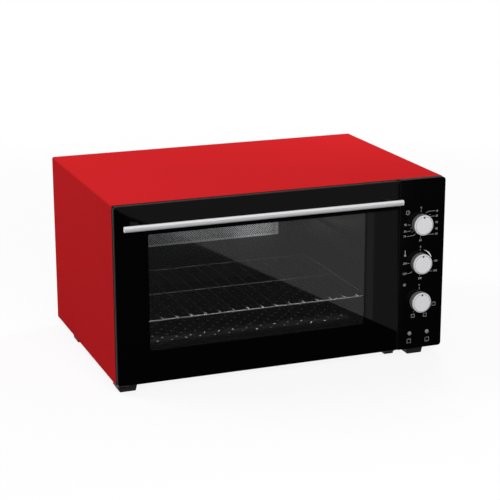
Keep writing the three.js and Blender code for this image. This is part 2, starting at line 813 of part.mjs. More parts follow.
function hingeArm(side) {
  const [front, height, half] = [arm.pinSetback, arm.pinHeight, arm.height / 2];
  const outline = new THREE.Shape();
  outline.moveTo(front, height - half);
  outline.lineTo(front + arm.length - half, height - half);
  outline.absarc(front + arm.length - half, height, half, -Math.PI / 2, Math.PI / 2, false);
  outline.lineTo(front, height + half);
  outline.absarc(front, height, half, Math.PI / 2, 1.5 * Math.PI, false);
  const [left, right] = acrossDoor(side, arm.fromEnd, arm.fromEnd + arm.thickness);
  const past = [left - cutOverrun, right + cutOverrun];
  const pinHole = rodX(arm.pinRadius + hinge.pinClearance, [front, height], ...past);
  const eye = rodX(arm.eyeRadius, [armEyeBack, height], ...past, wireSides);
  return cut(plateX(outline, left, right), pinHole, eye);
}

// Hinge brackets under the casing, their pins, and the rollers that the arms ride on

function hingeBracket(side) {
  const [near, far] = [hinge.fromEnd, hinge.fromEnd + hinge.width];
  const [pivotY, radius] = [hinge.setback, hinge.earRadius];
  const [under, foot, lip] = [-seat, -hinge.earDrop, pivotY + hinge.pinRadius];
  const ear = new THREE.Shape();
  ear.moveTo(hinge.bracketDepth, foot);
  ear.lineTo(hinge.bracketDepth, under);
  ear.lineTo(pivotY + radius, under);
  ear.lineTo(pivotY + radius, pivotHeight);
  ear.absarc(pivotY, pivotHeight, radius, 0, 1.5 * Math.PI, false);
  ear.lineTo(lip, pivotHeight - radius);
  ear.lineTo(lip, foot);
  const ears = [[near, near + hinge.ear], [far - hinge.ear, far]].map(
    (span) => plateX(ear, ...acrossDoor(side, ...span)),
  );
  const base = block(
    ...acrossDoor(side, near, far), sheet, hinge.bracketDepth, under - hinge.bracketSheet, under,
  );
  const web = block(
    ...acrossDoor(side, near, far), lip, hinge.bracketDepth, foot, foot + hinge.bracketSheet,
  );
  const hole = rodX(
    hinge.pinRadius + hinge.pinClearance, [pivotY, pivotHeight],
    ...acrossDoor(side, near - cutOverrun, far + cutOverrun),
  );
  return cut(join(base, web, ...ears), hole);
}

function hingePin(side) {
  return rodX(
    hinge.pinRadius, [hinge.setback, pivotHeight],
    ...acrossDoor(side, hinge.fromEnd - seat, hinge.fromEnd + hinge.width + seat),
  );
}

const roller = { radius: 3, setback: 8, drop: 7.2, cheek: 2, foot: 12, above: 8 };

function armRoller(side) {
  const z = arm.pinHeight - roller.drop;
  const near = arm.fromEnd - armSlot.clearance - 2 * roller.cheek;
  const front = frameBack + seat;
  const cheek = block(
    ...acrossDoor(side, near, near + roller.cheek), front, roller.setback + 2 * roller.radius,
    z - roller.above, z + roller.above,
  );
  const foot = block(
    ...acrossDoor(side, near - roller.foot, near + roller.cheek), front, front + sheet,
    z - roller.above, z + roller.above,
  );
  const [left, right] = acrossDoor(side, near, arm.fromEnd + arm.thickness + roller.cheek);
  return join(cheek, foot, rodX(roller.radius, [roller.setback, z], left, right));
}

// The spring's coil fills a plain round bar here, with a straight hook end at each side.
function doorSpring(side) {
  const middle = arm.fromEnd + arm.thickness / 2;
  const [x] = acrossDoor(side, middle, middle);
  const z = arm.pinHeight;
  const start = armEyeBack + arm.eyeRadius;
  const coilFront = start + spring.hookLength;
  const coil = rodY(spring.coilRadius, [x, z], coilFront, coilFront + spring.coilLength);
  const inFront = rodY(
    spring.wire / 2, [x, z], armEyeBack + arm.eyeFromEnd + seat, coilFront + spring.wire, wireSides,
  );
  const behind = rodY(
    spring.wire / 2, [x, z], coilFront + spring.coilLength - spring.wire,
    anchorEye - anchor.width / 2 - seat, wireSides,
  );
  return join(coil, inFront, behind);
}

// Feet: tapered blocks under the base

const foot = {
  width: 32, depth: 30, taper: 3, frontTaper: 0.6, leftInset: 4, rightInset: 26, frontSetback: 0.5,
  rearSetback: 82,
};

function supportFoot(side, end) {
  const left = side === 'left' ? foot.leftInset : casingWidth - foot.rightInset - foot.width;
  const front = end === 'front' ? foot.frontSetback : casingDepth - foot.rearSetback - foot.depth;
  const [right, back] = [left + foot.width, front + foot.depth];
  const slant = foot.taper;
  // The right feet stand clear of the casing's turned-in flange, and reach up past it to the base.
  const top = side === 'left' ? -seat : sheet;
  const corners = [
    [left + slant, front + foot.frontTaper, -footHeight],
    [right - slant, front + foot.frontTaper, -footHeight],
    [right - slant, back - slant, -footHeight], [left + slant, back - slant, -footHeight],
    [left, front, top], [right, front, top], [right, back, top], [left, back, top],
  ];
  const faces = [
    [0, 2, 1], [0, 3, 2], [4, 5, 6], [4, 6, 7], [0, 1, 5], [0, 5, 4],
    [1, 2, 6], [1, 6, 5], [2, 3, 7], [2, 7, 6], [3, 0, 4], [3, 4, 7],
  ];
  const shape = new THREE.BufferGeometry();
  shape.setAttribute('position', new THREE.Float32BufferAttribute(corners.flat(), 3));
  shape.setIndex(faces.flat());
  const clear = hinge.notch / 2;
  const pocket = block(
    ...acrossDoor(side, hinge.fromEnd - clear, hinge.fromEnd + hinge.width + clear), -cutOverrun,
    hinge.bracketDepth + clear, -hinge.earDrop - clear, cutOverrun,
  );
  return end === 'front' ? cut(solidOf(shape), pocket) : solidOf(shape);
}

// Rack and tray, resting on the ribs

const rack = {
  sideGap: 1.5, frameRadius: 2.5, wireRadius: 1.3, wirePitch: 24, front: 15, backSpace: 56, level: 1,
};
const rackLevel = cavity.floor + shelf.first + rack.level * shelf.pitch + seat + rack.frameRadius;
const rackWireSides = 6;

function wireRack() {
  const reach = rack.frameRadius;
  const [left, right] = [cavityLeft + rack.sideGap + reach, cavityRight - rack.sideGap - reach];
  const [front, back] = [rack.front + reach, cavityBack - rack.backSpace - reach];
  const bars = [
    rodX(rack.frameRadius, [front, rackLevel], left - reach, right + reach, wireSides),
    rodX(rack.frameRadius, [back, rackLevel], left - reach, right + reach, wireSides),
    rodY(rack.frameRadius, [left, rackLevel], front, back, wireSides),
    rodY(rack.frameRadius, [right, rackLevel], front, back, wireSides),
    rodX(rack.frameRadius, [(front + back) / 2, rackLevel], left, right, wireSides),
  ];
  const upper = rackLevel + rack.frameRadius;
  const count = Math.floor((right - left) / rack.wirePitch);
  const start = (left + right - (count - 1) * rack.wirePitch) / 2;
  for (let i = 0; i < count; i += 1) {
    const at = [start + i * rack.wirePitch, upper];
    bars.push(rodY(rack.wireRadius, at, front - reach, back + reach, rackWireSides));
  }
  return join(...bars);
}

const tray = {
  sideGap: 2, rimWidth: 7, rim: 1, wall: 1, front: 20, backSpace: 19, height: 12, corner: 14,
};

function bakingTray() {
  const rimLow = cavity.floor + shelf.first + seat;
  const rimTop = rimLow + tray.rim;
  const [left, right] = [cavityLeft + tray.sideGap, cavityRight - tray.sideGap];
  const [front, back] = [tray.front, cavityBack - tray.backSpace];
  const rimReach = tray.rimWidth + tray.wall;
  const outer = (inset) => roundedSquare(
    left + inset, right - inset, front + inset, back - inset, tray.corner,
  );
  const rim = plateZ(outer(0), rimLow, rimTop);
  const body = plateZ(outer(rimReach), rimTop - tray.height, rimTop);
  const inside = outer(rimReach + tray.wall);
  const hollow = plateZ(inside, rimTop - tray.height + tray.wall, rimTop + cutOverrun);
  return cut(join(rim, body), hollow);
}

// Finishes: colour, roughness and metalness of each material

const finishes = {
  redEnamel: [0xb8242a, 0.42, 0.0],
  blackGlass: [0x08080a, 0.06, 0.0],
  clearGlass: [0x20242a, 0.05, 0.0],
  blackSteel: [0x17171a, 0.5, 0.4],
  zincSteel: [0xa9acb0, 0.4, 0.85],
  linerEnamel: [0x55575b, 0.35, 0.3],
  brushedSteel: [0xc4c6c9, 0.32, 0.9],
  satinGrey: [0xcfd0d2, 0.4, 0.2],
  blackPlastic: [0x141416, 0.55, 0.0],
  whitePlastic: [0xd9d8d2, 0.5, 0.0],
  lampLens: [0xb9babd, 0.25, 0.0],
  chrome: [0xd6d8da, 0.15, 1.0],
  elementSheath: [0x4a4038, 0.55, 0.6],
  copper: [0xa8663f, 0.35, 0.9],
  wireSleeve: [0xbdb8a8, 0.7, 0.0],
};

const pieces = new THREE.Group();

function addPiece(name, solid, finish) {
  const mesh = solid.getMesh();
  const geometry = new THREE.BufferGeometry();
  const positions = new Float32Array(mesh.vertProperties);
  geometry.setAttribute('position', new THREE.BufferAttribute(positions, 3));
  geometry.setIndex(new THREE.BufferAttribute(new Uint32Array(mesh.triVerts), 1));
  geometry.computeVertexNormals();
  const [color, roughness, metalness] = finishes[finish];
  const material = new THREE.MeshStandardMaterial({ color, roughness, metalness });
  const piece = new THREE.Mesh(geometry, material);
  piece.name = name;
  pieces.add(piece);
}

addPiece('outer_casing', outerCasing(), 'redEnamel');
addPiece('base_panel', basePanel(), 'zincSteel');
addPiece('rear_panel', rearPanel(), 'zincSteel');
addPiece('front_frame', frontFrame(), 'blackSteel');
addPiece('cavity_liner', cavityLiner(), 'linerEnamel');
addPiece('rear_mesh_panel', rearMeshPanel(), 'zincSteel');
addPiece('cable_gland', cableGland(), 'blackPlastic');

addPiece('control_panel', controlPanel(), 'blackGlass');
for (const [name, z] of Object.entries(knobHeights)) {
  addPiece(`${name}_knob`, controlKnob(z), 'satinGrey');
  addPiece(`${name}_shaft`, controlShaft(z), 'zincSteel');
  addPiece(`${name}_body`, switchBody(name, z), 'zincSteel');
}
for (const [name, x] of Object.entries(lampPlaces)) {
  addPiece(name, indicatorLamp(x), 'lampLens');
}
addPiece('capillary_tube', capillaryTube(), 'copper');
addPiece('thermostat_bulb', thermostatBulb(), 'copper');
addPiece('terminal_block', terminalBlock(), 'whitePlastic');
addPiece('wiring_loom', wiringLoom(), 'wireSleeve');

for (const [place, z] of Object.entries(elementHeights)) {
  addPiece(`heating_element_${place}`, heatingElement(z), 'elementSheath');
  addPiece(`element_flange_${place}`, elementFlange(z), 'zincSteel');
  const wall = place === 'top' ? cavityTop : cavity.floor;
  addPiece(`element_clip_${place}`, elementClip(z, wall), 'zincSteel');
}
addPiece('wire_rack', wireRack(), 'chrome');
addPiece('baking_tray', bakingTray(), 'blackSteel');

addPiece('door_outer_glass', doorOuterGlass(), 'blackGlass');
addPiece('door_frame', doorFrameShell(), 'blackSteel');
addPiece('door_inner_glass', doorInnerGlass(), 'clearGlass');
addPiece('handle_bar', handleBar(), 'brushedSteel');
for (const side of ['left', 'right']) {
  addPiece(`handle_post_${side}`, handlePost(side), 'blackPlastic');
  addPiece(`handle_screw_${side}`, handleFixing(side), 'zincSteel');
  addPiece(`door_hinge_plate_${side}`, doorHingePlate(side), 'zincSteel');
  addPiece(`arm_pin_${side}`, armPin(side), 'zincSteel');
  addPiece(`hinge_arm_${side}`, hingeArm(side), 'zincSteel');
  addPiece(`hinge_bracket_${side}`, hingeBracket(side), 'blackSteel');
  addPiece(`hinge_pin_${side}`, hingePin(side), 'zincSteel');
  addPiece(`arm_roller_${side}`, armRoller(side), 'zincSteel');
  addPiece(`door_spring_${side}`, doorSpring(side), 'zincSteel');
  for (const end of ['front', 'rear']) {
    addPiece(`foot_${end}_${side}`, supportFoot(side, end), 'blackPlastic');
  }
}

// The origin stands on the table, in the middle of the footprint.
const foremost = glassFace - handleReach;
const rearmost = casingDepth + gland.reach;
pieces.position.set(-casingWidth / 2, -(foremost + rearmost) / 2, footHeight);

const oven = new THREE.Group();
oven.add(pieces);

export default oven;
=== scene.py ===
import math
import bmesh
import bpy
from mathutils import Matrix, Vector


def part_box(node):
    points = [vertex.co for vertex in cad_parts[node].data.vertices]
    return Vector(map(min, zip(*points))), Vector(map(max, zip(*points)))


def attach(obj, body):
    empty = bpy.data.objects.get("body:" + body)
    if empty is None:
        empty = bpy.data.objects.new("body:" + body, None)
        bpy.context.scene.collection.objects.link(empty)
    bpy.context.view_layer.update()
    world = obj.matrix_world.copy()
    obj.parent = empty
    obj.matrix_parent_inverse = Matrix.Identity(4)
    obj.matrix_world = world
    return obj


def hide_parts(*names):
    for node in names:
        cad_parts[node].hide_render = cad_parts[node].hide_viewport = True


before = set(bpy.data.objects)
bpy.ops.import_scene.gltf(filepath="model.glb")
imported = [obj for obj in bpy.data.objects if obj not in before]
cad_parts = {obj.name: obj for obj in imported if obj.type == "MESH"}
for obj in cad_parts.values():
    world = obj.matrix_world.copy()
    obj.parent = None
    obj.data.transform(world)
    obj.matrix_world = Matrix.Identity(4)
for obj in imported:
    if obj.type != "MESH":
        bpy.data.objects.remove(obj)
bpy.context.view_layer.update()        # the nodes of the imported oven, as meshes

print("frame loaded:", len(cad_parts), "nodes")

# Sizes are in millimetres. Places are given from the casing's lower left front corner.
mm = 0.001
origin = Vector((-280 * mm, -165.3 * mm, 14 * mm))


def at(x, y, z):
    return origin + Vector((x, y, z)) * mm


def boxOf(node):
    # The corners of a node's box in millimetres, in the frame's own axes.
    return [Vector(corner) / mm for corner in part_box(node)]


# Shader trees

class Wire:
    # A socket of a node tree. Sums and products of wires add Math nodes.
    def __init__(self, tree, socket=None):
        self.tree = tree
        self.socket = socket

    def node(self, kind, settings=(), sockets=(), out=0):
        made = self.tree.nodes.new(kind)
        for name, value in dict(settings).items():
            setattr(made, name, value)
        for key, value in dict(sockets).items():
            if isinstance(value, Wire):
                self.tree.links.new(value.socket, made.inputs[key])
            else:
                made.inputs[key].default_value = value
        return Wire(self.tree, made.outputs[out] if made.outputs else None)

    def calc(self, operation, first, second=0.0):
        return self.node("ShaderNodeMath", {"operation": operation}, {0: first, 1: second})

    def __add__(self, other):
        return self.calc("ADD", self, other)

    def __sub__(self, other):
        return self.calc("SUBTRACT", self, other)

    def __rsub__(self, other):
        return self.calc("SUBTRACT", other, self)

    def __mul__(self, other):
        return self.calc("MULTIPLY", self, other)

    def __truediv__(self, other):
        return self.calc("DIVIDE", self, other)

    def __rtruediv__(self, other):
        return self.calc("DIVIDE", other, self)

    def __lt__(self, other):
        return self.calc("LESS_THAN", self, other)

    def __gt__(self, other):
        return self.calc("GREATER_THAN", self, other)

    __radd__ = __add__
    __rmul__ = __mul__


def linear(*levels):
    # A colour from its eight-bit screen levels.
    shares = [level / 255 for level in levels]
    parts = [s / 12.92 if s <= 0.04045 else ((s + 0.055) / 1.055) ** 2.4 for s in shares]
    return (*parts, 1.0)


def shaded(colour, share):
    return (*[min(1.0, level * share) for level in colour[:3]], 1.0)


def noise(pen, scale, detail=3.0, stretch=(1.0, 1.0, 1.0)):
    point = pen.node("ShaderNodeTexCoord", out="Object")
    point = pen.node("ShaderNodeMapping", {}, {"Vector": point, "Scale": stretch})
    return pen.node("ShaderNodeTexNoise", {}, {"Vector": point, "Scale": scale, "Detail": detail})


def mixed(pen, factor, first, second):
    return pen.node("ShaderNodeMix", {"data_type": "RGBA"}, {0: factor, 6: first, 7: second}, 2)


def emptyTree(holder):
    # A pen on the cleared tree of a material or the world.
    holder.use_nodes = True
    holder.node_tree.nodes.clear()
    return Wire(holder.node_tree)


def makeMaterial(name, build):
    # build: takes a pen and returns the wire of the whole surface.
    material = bpy.data.materials.new(name)
    pen = emptyTree(material)
    pen.node("ShaderNodeOutputMaterial", {}, {"Surface": build(pen)})
    return material


# What all the finishes share. Flecks are pale specks, and flakes are the spangle of zinc.
texture = {"fleckGrain": 0.4, "fleckLimit": 0.38, "fleckLight": 2.2, "flakeGrain": 160,
           "flakeDark": 0.62, "bump": 0.0004, "glossGrain": 3}


def coated(name, levels, spread, grain, rough, roughSpread, relief, reliefGrain=1500,
           stretch=(1.0, 1.0, 1.0), spangle=0, speckle=0, specular=0.5, **constants):
    # A finish whose colour drifts slowly, whose gloss varies, and whose surface has a fine grain.
    colour = linear(*levels)

    def build(pen):
        drift = noise(pen, grain, stretch=stretch)
        base = mixed(pen, drift, shaded(colour, 1 - spread), shaded(colour, 1 + spread))
        if speckle:
            fleck = noise(pen, reliefGrain * texture["fleckGrain"], 1.0) < texture["fleckLimit"]
            base = mixed(pen, fleck * speckle, base, shaded(colour, texture["fleckLight"]))
        if spangle:
            flakes = {"Vector": pen.node("ShaderNodeTexCoord", out="Object"),
                      "Scale": texture["flakeGrain"]}
            flakes = pen.node("ShaderNodeTexVoronoi", {}, flakes, "Color")
            bright = pen.node("ShaderNodeSeparateColor", {}, {"Color": flakes})
            base = mixed(pen, bright * spangle, base, shaded(colour, texture["flakeDark"]))
        fine = noise(pen, reliefGrain, 2.0, stretch)
        bump = pen.node("ShaderNodeBump", {}, {"Strength": relief, "Distance": texture["bump"],
                                               "Height": fine})
        gloss = noise(pen, grain * texture["glossGrain"], stretch=stretch)
        gloss = gloss * (2 * roughSpread) + (rough - roughSpread)
        return pen.node("ShaderNodeBsdfPrincipled", {}, {
            "Base Color": base, "Roughness": gloss, "Normal": bump,
            "Specular IOR Level": specular, **constants})
    return makeMaterial(name, build)


lengthwise = (0.04, 1.0, 1.0)     # grain drawn out along the oven's width
# Each finish: name, screen levels, colour spread and its grain, roughness and its spread, relief.
finishes = {
    "redEnamel": coated("red_enamel", (205, 37, 41), 0.03, 9, 0.45, 0.05, 0.035, 1400, specular=0),
    "printedGlass": coated("printed_black_glass", (4, 4, 5), 0.2, 12, 0.035, 0.012, 0),
    "windowGlass": coated("tinted_window_glass", (36, 36, 37), 0.1, 12, 0.03, 0.01, 0, Alpha=0.5,
                          IOR=3.3),
    "windowBack": coated("window_glass_back", (5, 5, 6), 0.1, 12, 0.05, 0.01, 0, Alpha=0.06),
    "glassEdge": coated("ground_glass_edge", (50, 52, 52), 0.2, 90, 0.4, 0.1, 0.05, specular=0),
    "innerGlass": coated("inner_glass", (8, 9, 10), 0.1, 12, 0.04, 0.01, 0, Alpha=0.12),
    "stripBlack": coated("gloss_black_strip", (5, 5, 6), 0.15, 30, 0.12, 0.03, 0.01, specular=0.2),
    "stripEdge": coated("strip_side", (8, 8, 9), 0.1, 60, 0.6, 0.06, 0.05, specular=0.1),
    "printWhite": coated("printed_scale", (168, 168, 168), 0.08, 900, 0.55, 0.05, 0.02),
    "printBright": coated("printed_crescent", (240, 240, 240), 0.04, 900, 0.5, 0.05, 0.02),
    "knobSatin": coated("satin_knob", (222, 222, 224), 0.2, 900, 0.42, 0.06, 0.3, 2600),
    # A darker copy of the knob's finish: painted shade on its groove and side.
    "knobSidePaintedShade": coated("knob_side_painted_shade", (112, 112, 114), 0.05, 300, 0.35, 0.06, 0.08, 1800),
    "dotBlack": coated("pointer_dot", (12, 12, 13), 0.2, 300, 0.6, 0.05, 0.02),
    "lens": coated("lamp_lens", (132, 132, 134), 0.12, 500, 0.2, 0.05, 0.1, 900),
    "handleSilver": coated("satin_silver", (224, 224, 226), 0.03, 240, 0.36, 0.05, 0.05, 900,
                           lengthwise, Metallic=0.55),
    "blackSteel": coated("black_coated_steel", (16, 16, 17), 0.12, 60, 0.5, 0.07, 0.08, 1100,
                         specular=0.3),
    "zinc": coated("galvanised_steel", (176, 179, 182), 0.06, 40, 0.42, 0.08, 0.03, 700,
                   spangle=0.5, Metallic=0.8),
    "linerGrey": coated("grey_cavity_enamel", (36, 37, 38), 0.07, 30, 0.34, 0.06, 0.05, 900,
                        speckle=0.12),
    "meshSteel": coated("perforated_steel", (186, 188, 190), 0.05, 40, 0.45, 0.06, 0.03, 700,
                        Metallic=0.2),
    # Dark discs where the sheet's holes would be: painted shade seen through the holes.
    "meshHolePaintedShade": coated("perforation_painted_shade", (8, 8, 9), 0.1, 300, 0.7, 0.05, 0.02),
    # Rods: a dark copy of the wire's finish as painted shade, and a pale one on their front ends as
    # painted light.
    "rodPaintedShade": coated("rod_painted_shade", (40, 41, 42), 0.06, 200, 0.3, 0.05, 0.02, Metallic=0.75),
    "rodPaintedLightTip": coated("rod_end_painted_light", (212, 213, 215), 0.04, 200, 0.4, 0.05, 0.02, Metallic=0.3),
    "chrome": coated("bright_wire", (214, 216, 218), 0.04, 200, 0.2, 0.05, 0.02, Metallic=0.75),
    "trayEnamel": coated("tray_enamel", (8, 8, 9), 0.1, 60, 0.45, 0.06, 0.05, 900, speckle=0.08,
                         specular=0),
    # Pale domes on the dark tray: their lighter colour is a painted glint.
    "dimple": coated("tray_dimple_painted_glint", (108, 108, 110), 0.1, 400, 0.3, 0.08, 0.05),
    "sheath": coated("element_sheath", (92, 82, 74), 0.18, 70, 0.5, 0.1, 0.06, Metallic=0.6),
    "copper": coated("copper_tube", (190, 122, 84), 0.12, 90, 0.32, 0.08, 0.03, Metallic=0.9),
    "feetBlack": coated("moulded_black", (12, 12, 13), 0.1, 120, 0.62, 0.06, 0.2, 1700,
                        specular=0.2),
    "switchCase": coated("switch_moulding", (206, 203, 192), 0.06, 90, 0.5, 0.06, 0.05),
    "terminalWhite": coated("terminal_moulding", (226, 224, 214), 0.05, 90, 0.45, 0.06, 0.04),
    "sleeve": coated("braided_sleeve", (196, 190, 174), 0.14, 600, 0.8, 0.08, 0.5, 1500),
    "springWire": coated("spring_wire", (150, 152, 156), 0.08, 300, 0.34, 0.07, 0.04,
                         Metallic=0.85),
}
print("finishes made:", len(finishes))


# Objects and meshes

inwards = (0, 1, 0)      # the way from the oven's front to its back


def addObject(name, data):
    made = bpy.data.objects.new(name, data)
    bpy.context.scene.collection.objects.link(made)
    return made


def dropObjects(*helpers):
    for helper in helpers:
        bpy.data.objects.remove(helper)


def plainMesh(holder):
    # The object's mesh as its modifiers leave it.
    graph = bpy.context.evaluated_depsgraph_get()
    return bpy.data.meshes.new_from_object(holder.evaluated_get(graph), depsgraph=graph)


def meshFrom(bm, name, materials=()):
    # Turns the faces outwards and ends the bmesh.
    bmesh.ops.recalc_face_normals(bm, faces=bm.faces)
    mesh = bpy.data.meshes.new(name)
    bm.to_mesh(mesh)
    bm.free()
    for material in materials:
        mesh.materials.append(finishes[material])
    return mesh


def addLoop(bm, points):
    return [bm.verts.new(point) for point in points]


def addRing(bm, first, second, mat=0):
    # Joins two closed loops of as many points with a band of four-sided faces.
    for i, (near, far) in enumerate(zip(first, second)):
        j = (i + 1) % len(first)
        bm.faces.new((near, first[j], second[j], far)).material_index = mat


def addCap(bm, loop, mat=0):
    bm.faces.new(loop).material_index = mat


def addMesh(bm, mesh, mat=0):
    known = set(bm.faces)
    bm.from_mesh(mesh)
    for face in bm.faces:
        if face not in known:
            face.material_index = mat
    bpy.data.meshes.remove(mesh)


def roundedLoop(left, right, low, high, radii, steps=8):
    # Points of a rounded oblong, from its lower left corner, against the clock.
    corners = [(left, low, 1, 1, 180), (right, low, -1, 1, 270),
               (right, high, -1, -1, 0), (left, high, 1, -1, 90)]
    points = []
    for (x, y, inX, inY, start), radius in zip(corners, radii):
        for i in range(steps + 1):
            angle = math.radians(start + 90 * i / steps)
            points.append((x + inX * radius + radius * math.cos(angle),
                           y + inY * radius + radius * math.sin(angle)))
    return points


def frontLoop(outline, y):
    return [at(x, y, z) for x, z in outline]


def plated(loops, mats=None):
    # A solid through loops of as many points, capped at both ends. mats: one for each band, then
    # one for each cap.
    bm = bmesh.new()
    mats = mats or [0] * (len(loops) + 1)
    rings = [addLoop(bm, loop) for loop in loops]
    for first, second, mat in zip(rings, rings[1:], mats):
        addRing(bm, first, second, mat)
    addCap(bm, rings[0], mats[-2])
    addCap(bm, rings[-1], mats[-1])
    return bm


def insetLoop(low, high, inset, radii, steps=8):
    # low, high: opposite corners, as pairs. radii: one, or one for each corner.
    radii = radii if isinstance(radii, list) else [radii] * 4
    return roundedLoop(low[0] + inset, high[0] - inset, low[1] + inset, high[1] - inset, radii,
                       steps)


def circle(middle, across, other, radius, sides):
    turns = [2 * math.pi * i / sides for i in range(sides)]
    return [middle + (across * math.cos(t) + other * math.sin(t)) * radius for t in turns]


def turned(profile, sides, centre=(0, 0, 0), axis=inwards, mats=None):
    # A turned solid about a line along y or z. profile: pairs of radius and height along the
    # axis, which begin and end on the axis, or end where they begin.
    bm = bmesh.new()
    axis, across = Vector(axis), Vector((1, 0, 0))
    other = axis.cross(across)
    closed = profile[0] == profile[-1]
    rings = []
    for radius, height in profile[:-1] if closed else profile:
        middle = Vector(centre) + axis * (height * mm)
        points = circle(middle, across, other, radius * mm, sides) if radius else [middle]
        rings.append(addLoop(bm, points))
    if closed:
        rings.append(rings[0])
    for first, second, mat in zip(rings, rings[1:], mats or [0] * len(profile)):
        if len(first) > 1 and len(second) > 1:
            addRing(bm, first, second, mat)
            continue
        tip, ring = (first[0], second) if len(first) == 1 else (second[0], first)
        for i in range(sides):
            bm.faces.new((tip, ring[i], ring[(i + 1) % sides])).material_index = mat
    return bm


def bentRoute(corners, bend, steps=8):
    # A line through the corners, each rounded over the given length.
    route = [corners[0]]
    for i in range(1, len(corners) - 1):
        before = corners[i] + (corners[i - 1] - corners[i]).normalized() * bend
        after = corners[i] + (corners[i + 1] - corners[i]).normalized() * bend
        for k in range(steps + 1):
            t = k / steps
            route.append(before * (1 - t) ** 2 + corners[i] * 2 * t * (1 - t) + after * t ** 2)
    return route + [corners[-1]]


def addTube(bm, points, radius, sides):
    # A round wire along a line, with both ends closed.
    last = len(points) - 1
    rings = []
    side = None
    for i, point in enumerate(points):
        ahead = (points[min(i + 1, last)] - points[max(i - 1, 0)]).normalized()
        if side is None:
            side = ahead.orthogonal().normalized()
        side = (side - ahead * side.dot(ahead)).normalized()
        rings.append(addLoop(bm, circle(point, side, ahead.cross(side), radius * mm, sides)))
    for first, second in zip(rings, rings[1:]):
        addRing(bm, first, second)
    addCap(bm, rings[0])
    addCap(bm, rings[-1])


def finishPiece(bm, name, materials, body, slotName, nodes=(), smooth=38):
    mesh = meshFrom(bm, name, materials)
    mesh.shade_smooth()
    mesh.set_sharp_from_angle(angle=math.radians(smooth))
    piece = addObject(name, mesh)
    # Normals weighted by area keep the large faces flat up to their bevels.
    weighting = piece.modifiers.new("flat_faces", "WEIGHTED_NORMAL")
    weighting.keep_sharp = True
    piece.data = plainMesh(piece)
    piece.modifiers.remove(weighting)
    bpy.data.meshes.remove(mesh)
    piece.data.name = name
    if nodes:
        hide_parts(*nodes)
    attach(piece, body)
    return piece


softening = {"join": 0.004, "flat": 0.8, "angle": 35, "segments": 2}


def copyNode(node, width):
    # The CAD solid with its triangles joined, its flat faces made whole and its edges broken.
    bm = bmesh.new()
    bm.from_mesh(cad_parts[node].data)
    bmesh.ops.remove_doubles(bm, verts=bm.verts, dist=softening["join"] * mm)
    bmesh.ops.dissolve_limit(bm, angle_limit=math.radians(softening["flat"]), verts=bm.verts,
                             edges=bm.edges)
    for face in bm.faces:
        face.material_index = 0
    limit = math.radians(softening["angle"])
    sharp = [edge for edge in bm.edges if edge.is_manifold and edge.calc_face_angle() > limit]
    bmesh.ops.bevel(bm, geom=sharp, offset=width * mm, segments=softening["segments"],
                    profile=0.5, affect="EDGES", clamp_overlap=True)
    return bm


# Geometry Nodes: one small solid repeated in rows and columns

repeatInputs = {
    "Part": "Object", "Columns": "Int", "Rows": "Int", "Column Step": "Vector",
    "Row Step": "Vector", "Stagger": "Float", "First": "Vector", "Finish": "Material",
}


def makeRepeatTree():
    tree = bpy.data.node_groups.new("repeated_parts", "GeometryNodeTree")
    tree.interface.new_socket("Geometry", in_out="OUTPUT", socket_type="NodeSocketGeometry")
    for label, kind in repeatInputs.items():
        tree.interface.new_socket(label, in_out="INPUT", socket_type=f"NodeSocket{kind}")
    pen = Wire(tree)
    given = {label: pen.node("NodeGroupInput", out=label) for label in repeatInputs}
    index = pen.node("GeometryNodeInputIndex")
    row = pen.calc("FLOOR", index / given["Columns"])
    odd = pen.calc("MODULO", row, 2.0)
    column = index - row * given["Columns"] + odd * given["Stagger"]
    spot = given["First"]
    for step, count in (("Column Step", column), ("Row Step", row)):
        moved = pen.node("ShaderNodeVectorMath", {"operation": "SCALE"},
                         {0: given[step], "Scale": count})
        spot = pen.node("ShaderNodeVectorMath", {"operation": "ADD"}, {0: spot, 1: moved})
    points = pen.node("GeometryNodePoints", {}, {"Count": given["Columns"] * given["Rows"],
                                                 "Position": spot})
    part = pen.node("GeometryNodeObjectInfo", {}, {"Object": given["Part"]}, "Geometry")
    placed = pen.node("GeometryNodeInstanceOnPoints", {}, {"Points": points, "Instance": part})
    solid = pen.node("GeometryNodeRealizeInstances", {}, {"Geometry": placed})
    coloured = pen.node("GeometryNodeSetMaterial", {}, {"Geometry": solid,
                                                        "Material": given["Finish"]})
    pen.node("NodeGroupOutput", {}, {"Geometry": coloured})
    return tree


repeatTree = makeRepeatTree()


def addRepeats(bm, part, first, material, columns, columnStep, rows=1, rowStep=(0, 0, 0),
               mat=0, stagger=0.0):
    # Adds copies of part, a bmesh round the origin, in columns along x and in rows.
    source = addObject("repeat_source", meshFrom(part, "repeat_part"))
    holder = addObject("repeat_holder", bpy.data.meshes.new("repeat_holder"))
    modifier = holder.modifiers.new("repeat", "NODES")
    modifier.node_group = repeatTree
    values = {"Part": source, "Columns": columns, "Rows": rows,
              "Column Step": tuple(Vector((columnStep, 0, 0)) * mm),
              "Row Step": tuple(Vector(rowStep) * mm), "Stagger": stagger,
              "First": tuple(first), "Finish": finishes[material]}
    for item in repeatTree.interface.items_tree:
        if item.in_out == "INPUT":
            modifier[item.identifier] = values[item.name]
    made = plainMesh(holder)
    holder.modifiers.remove(modifier)
    dropObjects(source, holder)
    addMesh(bm, made, mat)


# The section of a pan head with a recess, in shares of its radius and of its dome.
screwSizes = {"head": 3.4, "dome": 1.3, "sides": 20,
              "section": [(0, -0.2), (1, -0.2), (1, 0.35), (0.88, 0.72), (0.62, 0.95), (0.34, 1),
                          (0.26, 0.45), (0, 0.3)]}


def screwHead(axis=inwards, scale=1):
    radius, dome = screwSizes["head"] * scale, screwSizes["dome"] * scale
    profile = [(radius * out, dome * up) for out, up in screwSizes["section"]]
    return turned(profile, screwSizes["sides"], axis=axis)


# Casing

casing = {"width": 560, "depth": 367, "height": 288, "corner": 3.2, "flange": 14, "gauge": 0.6,
          "insideBend": 0.05, "edge": 0.18, "join": 0.001, "arcSteps": 8}


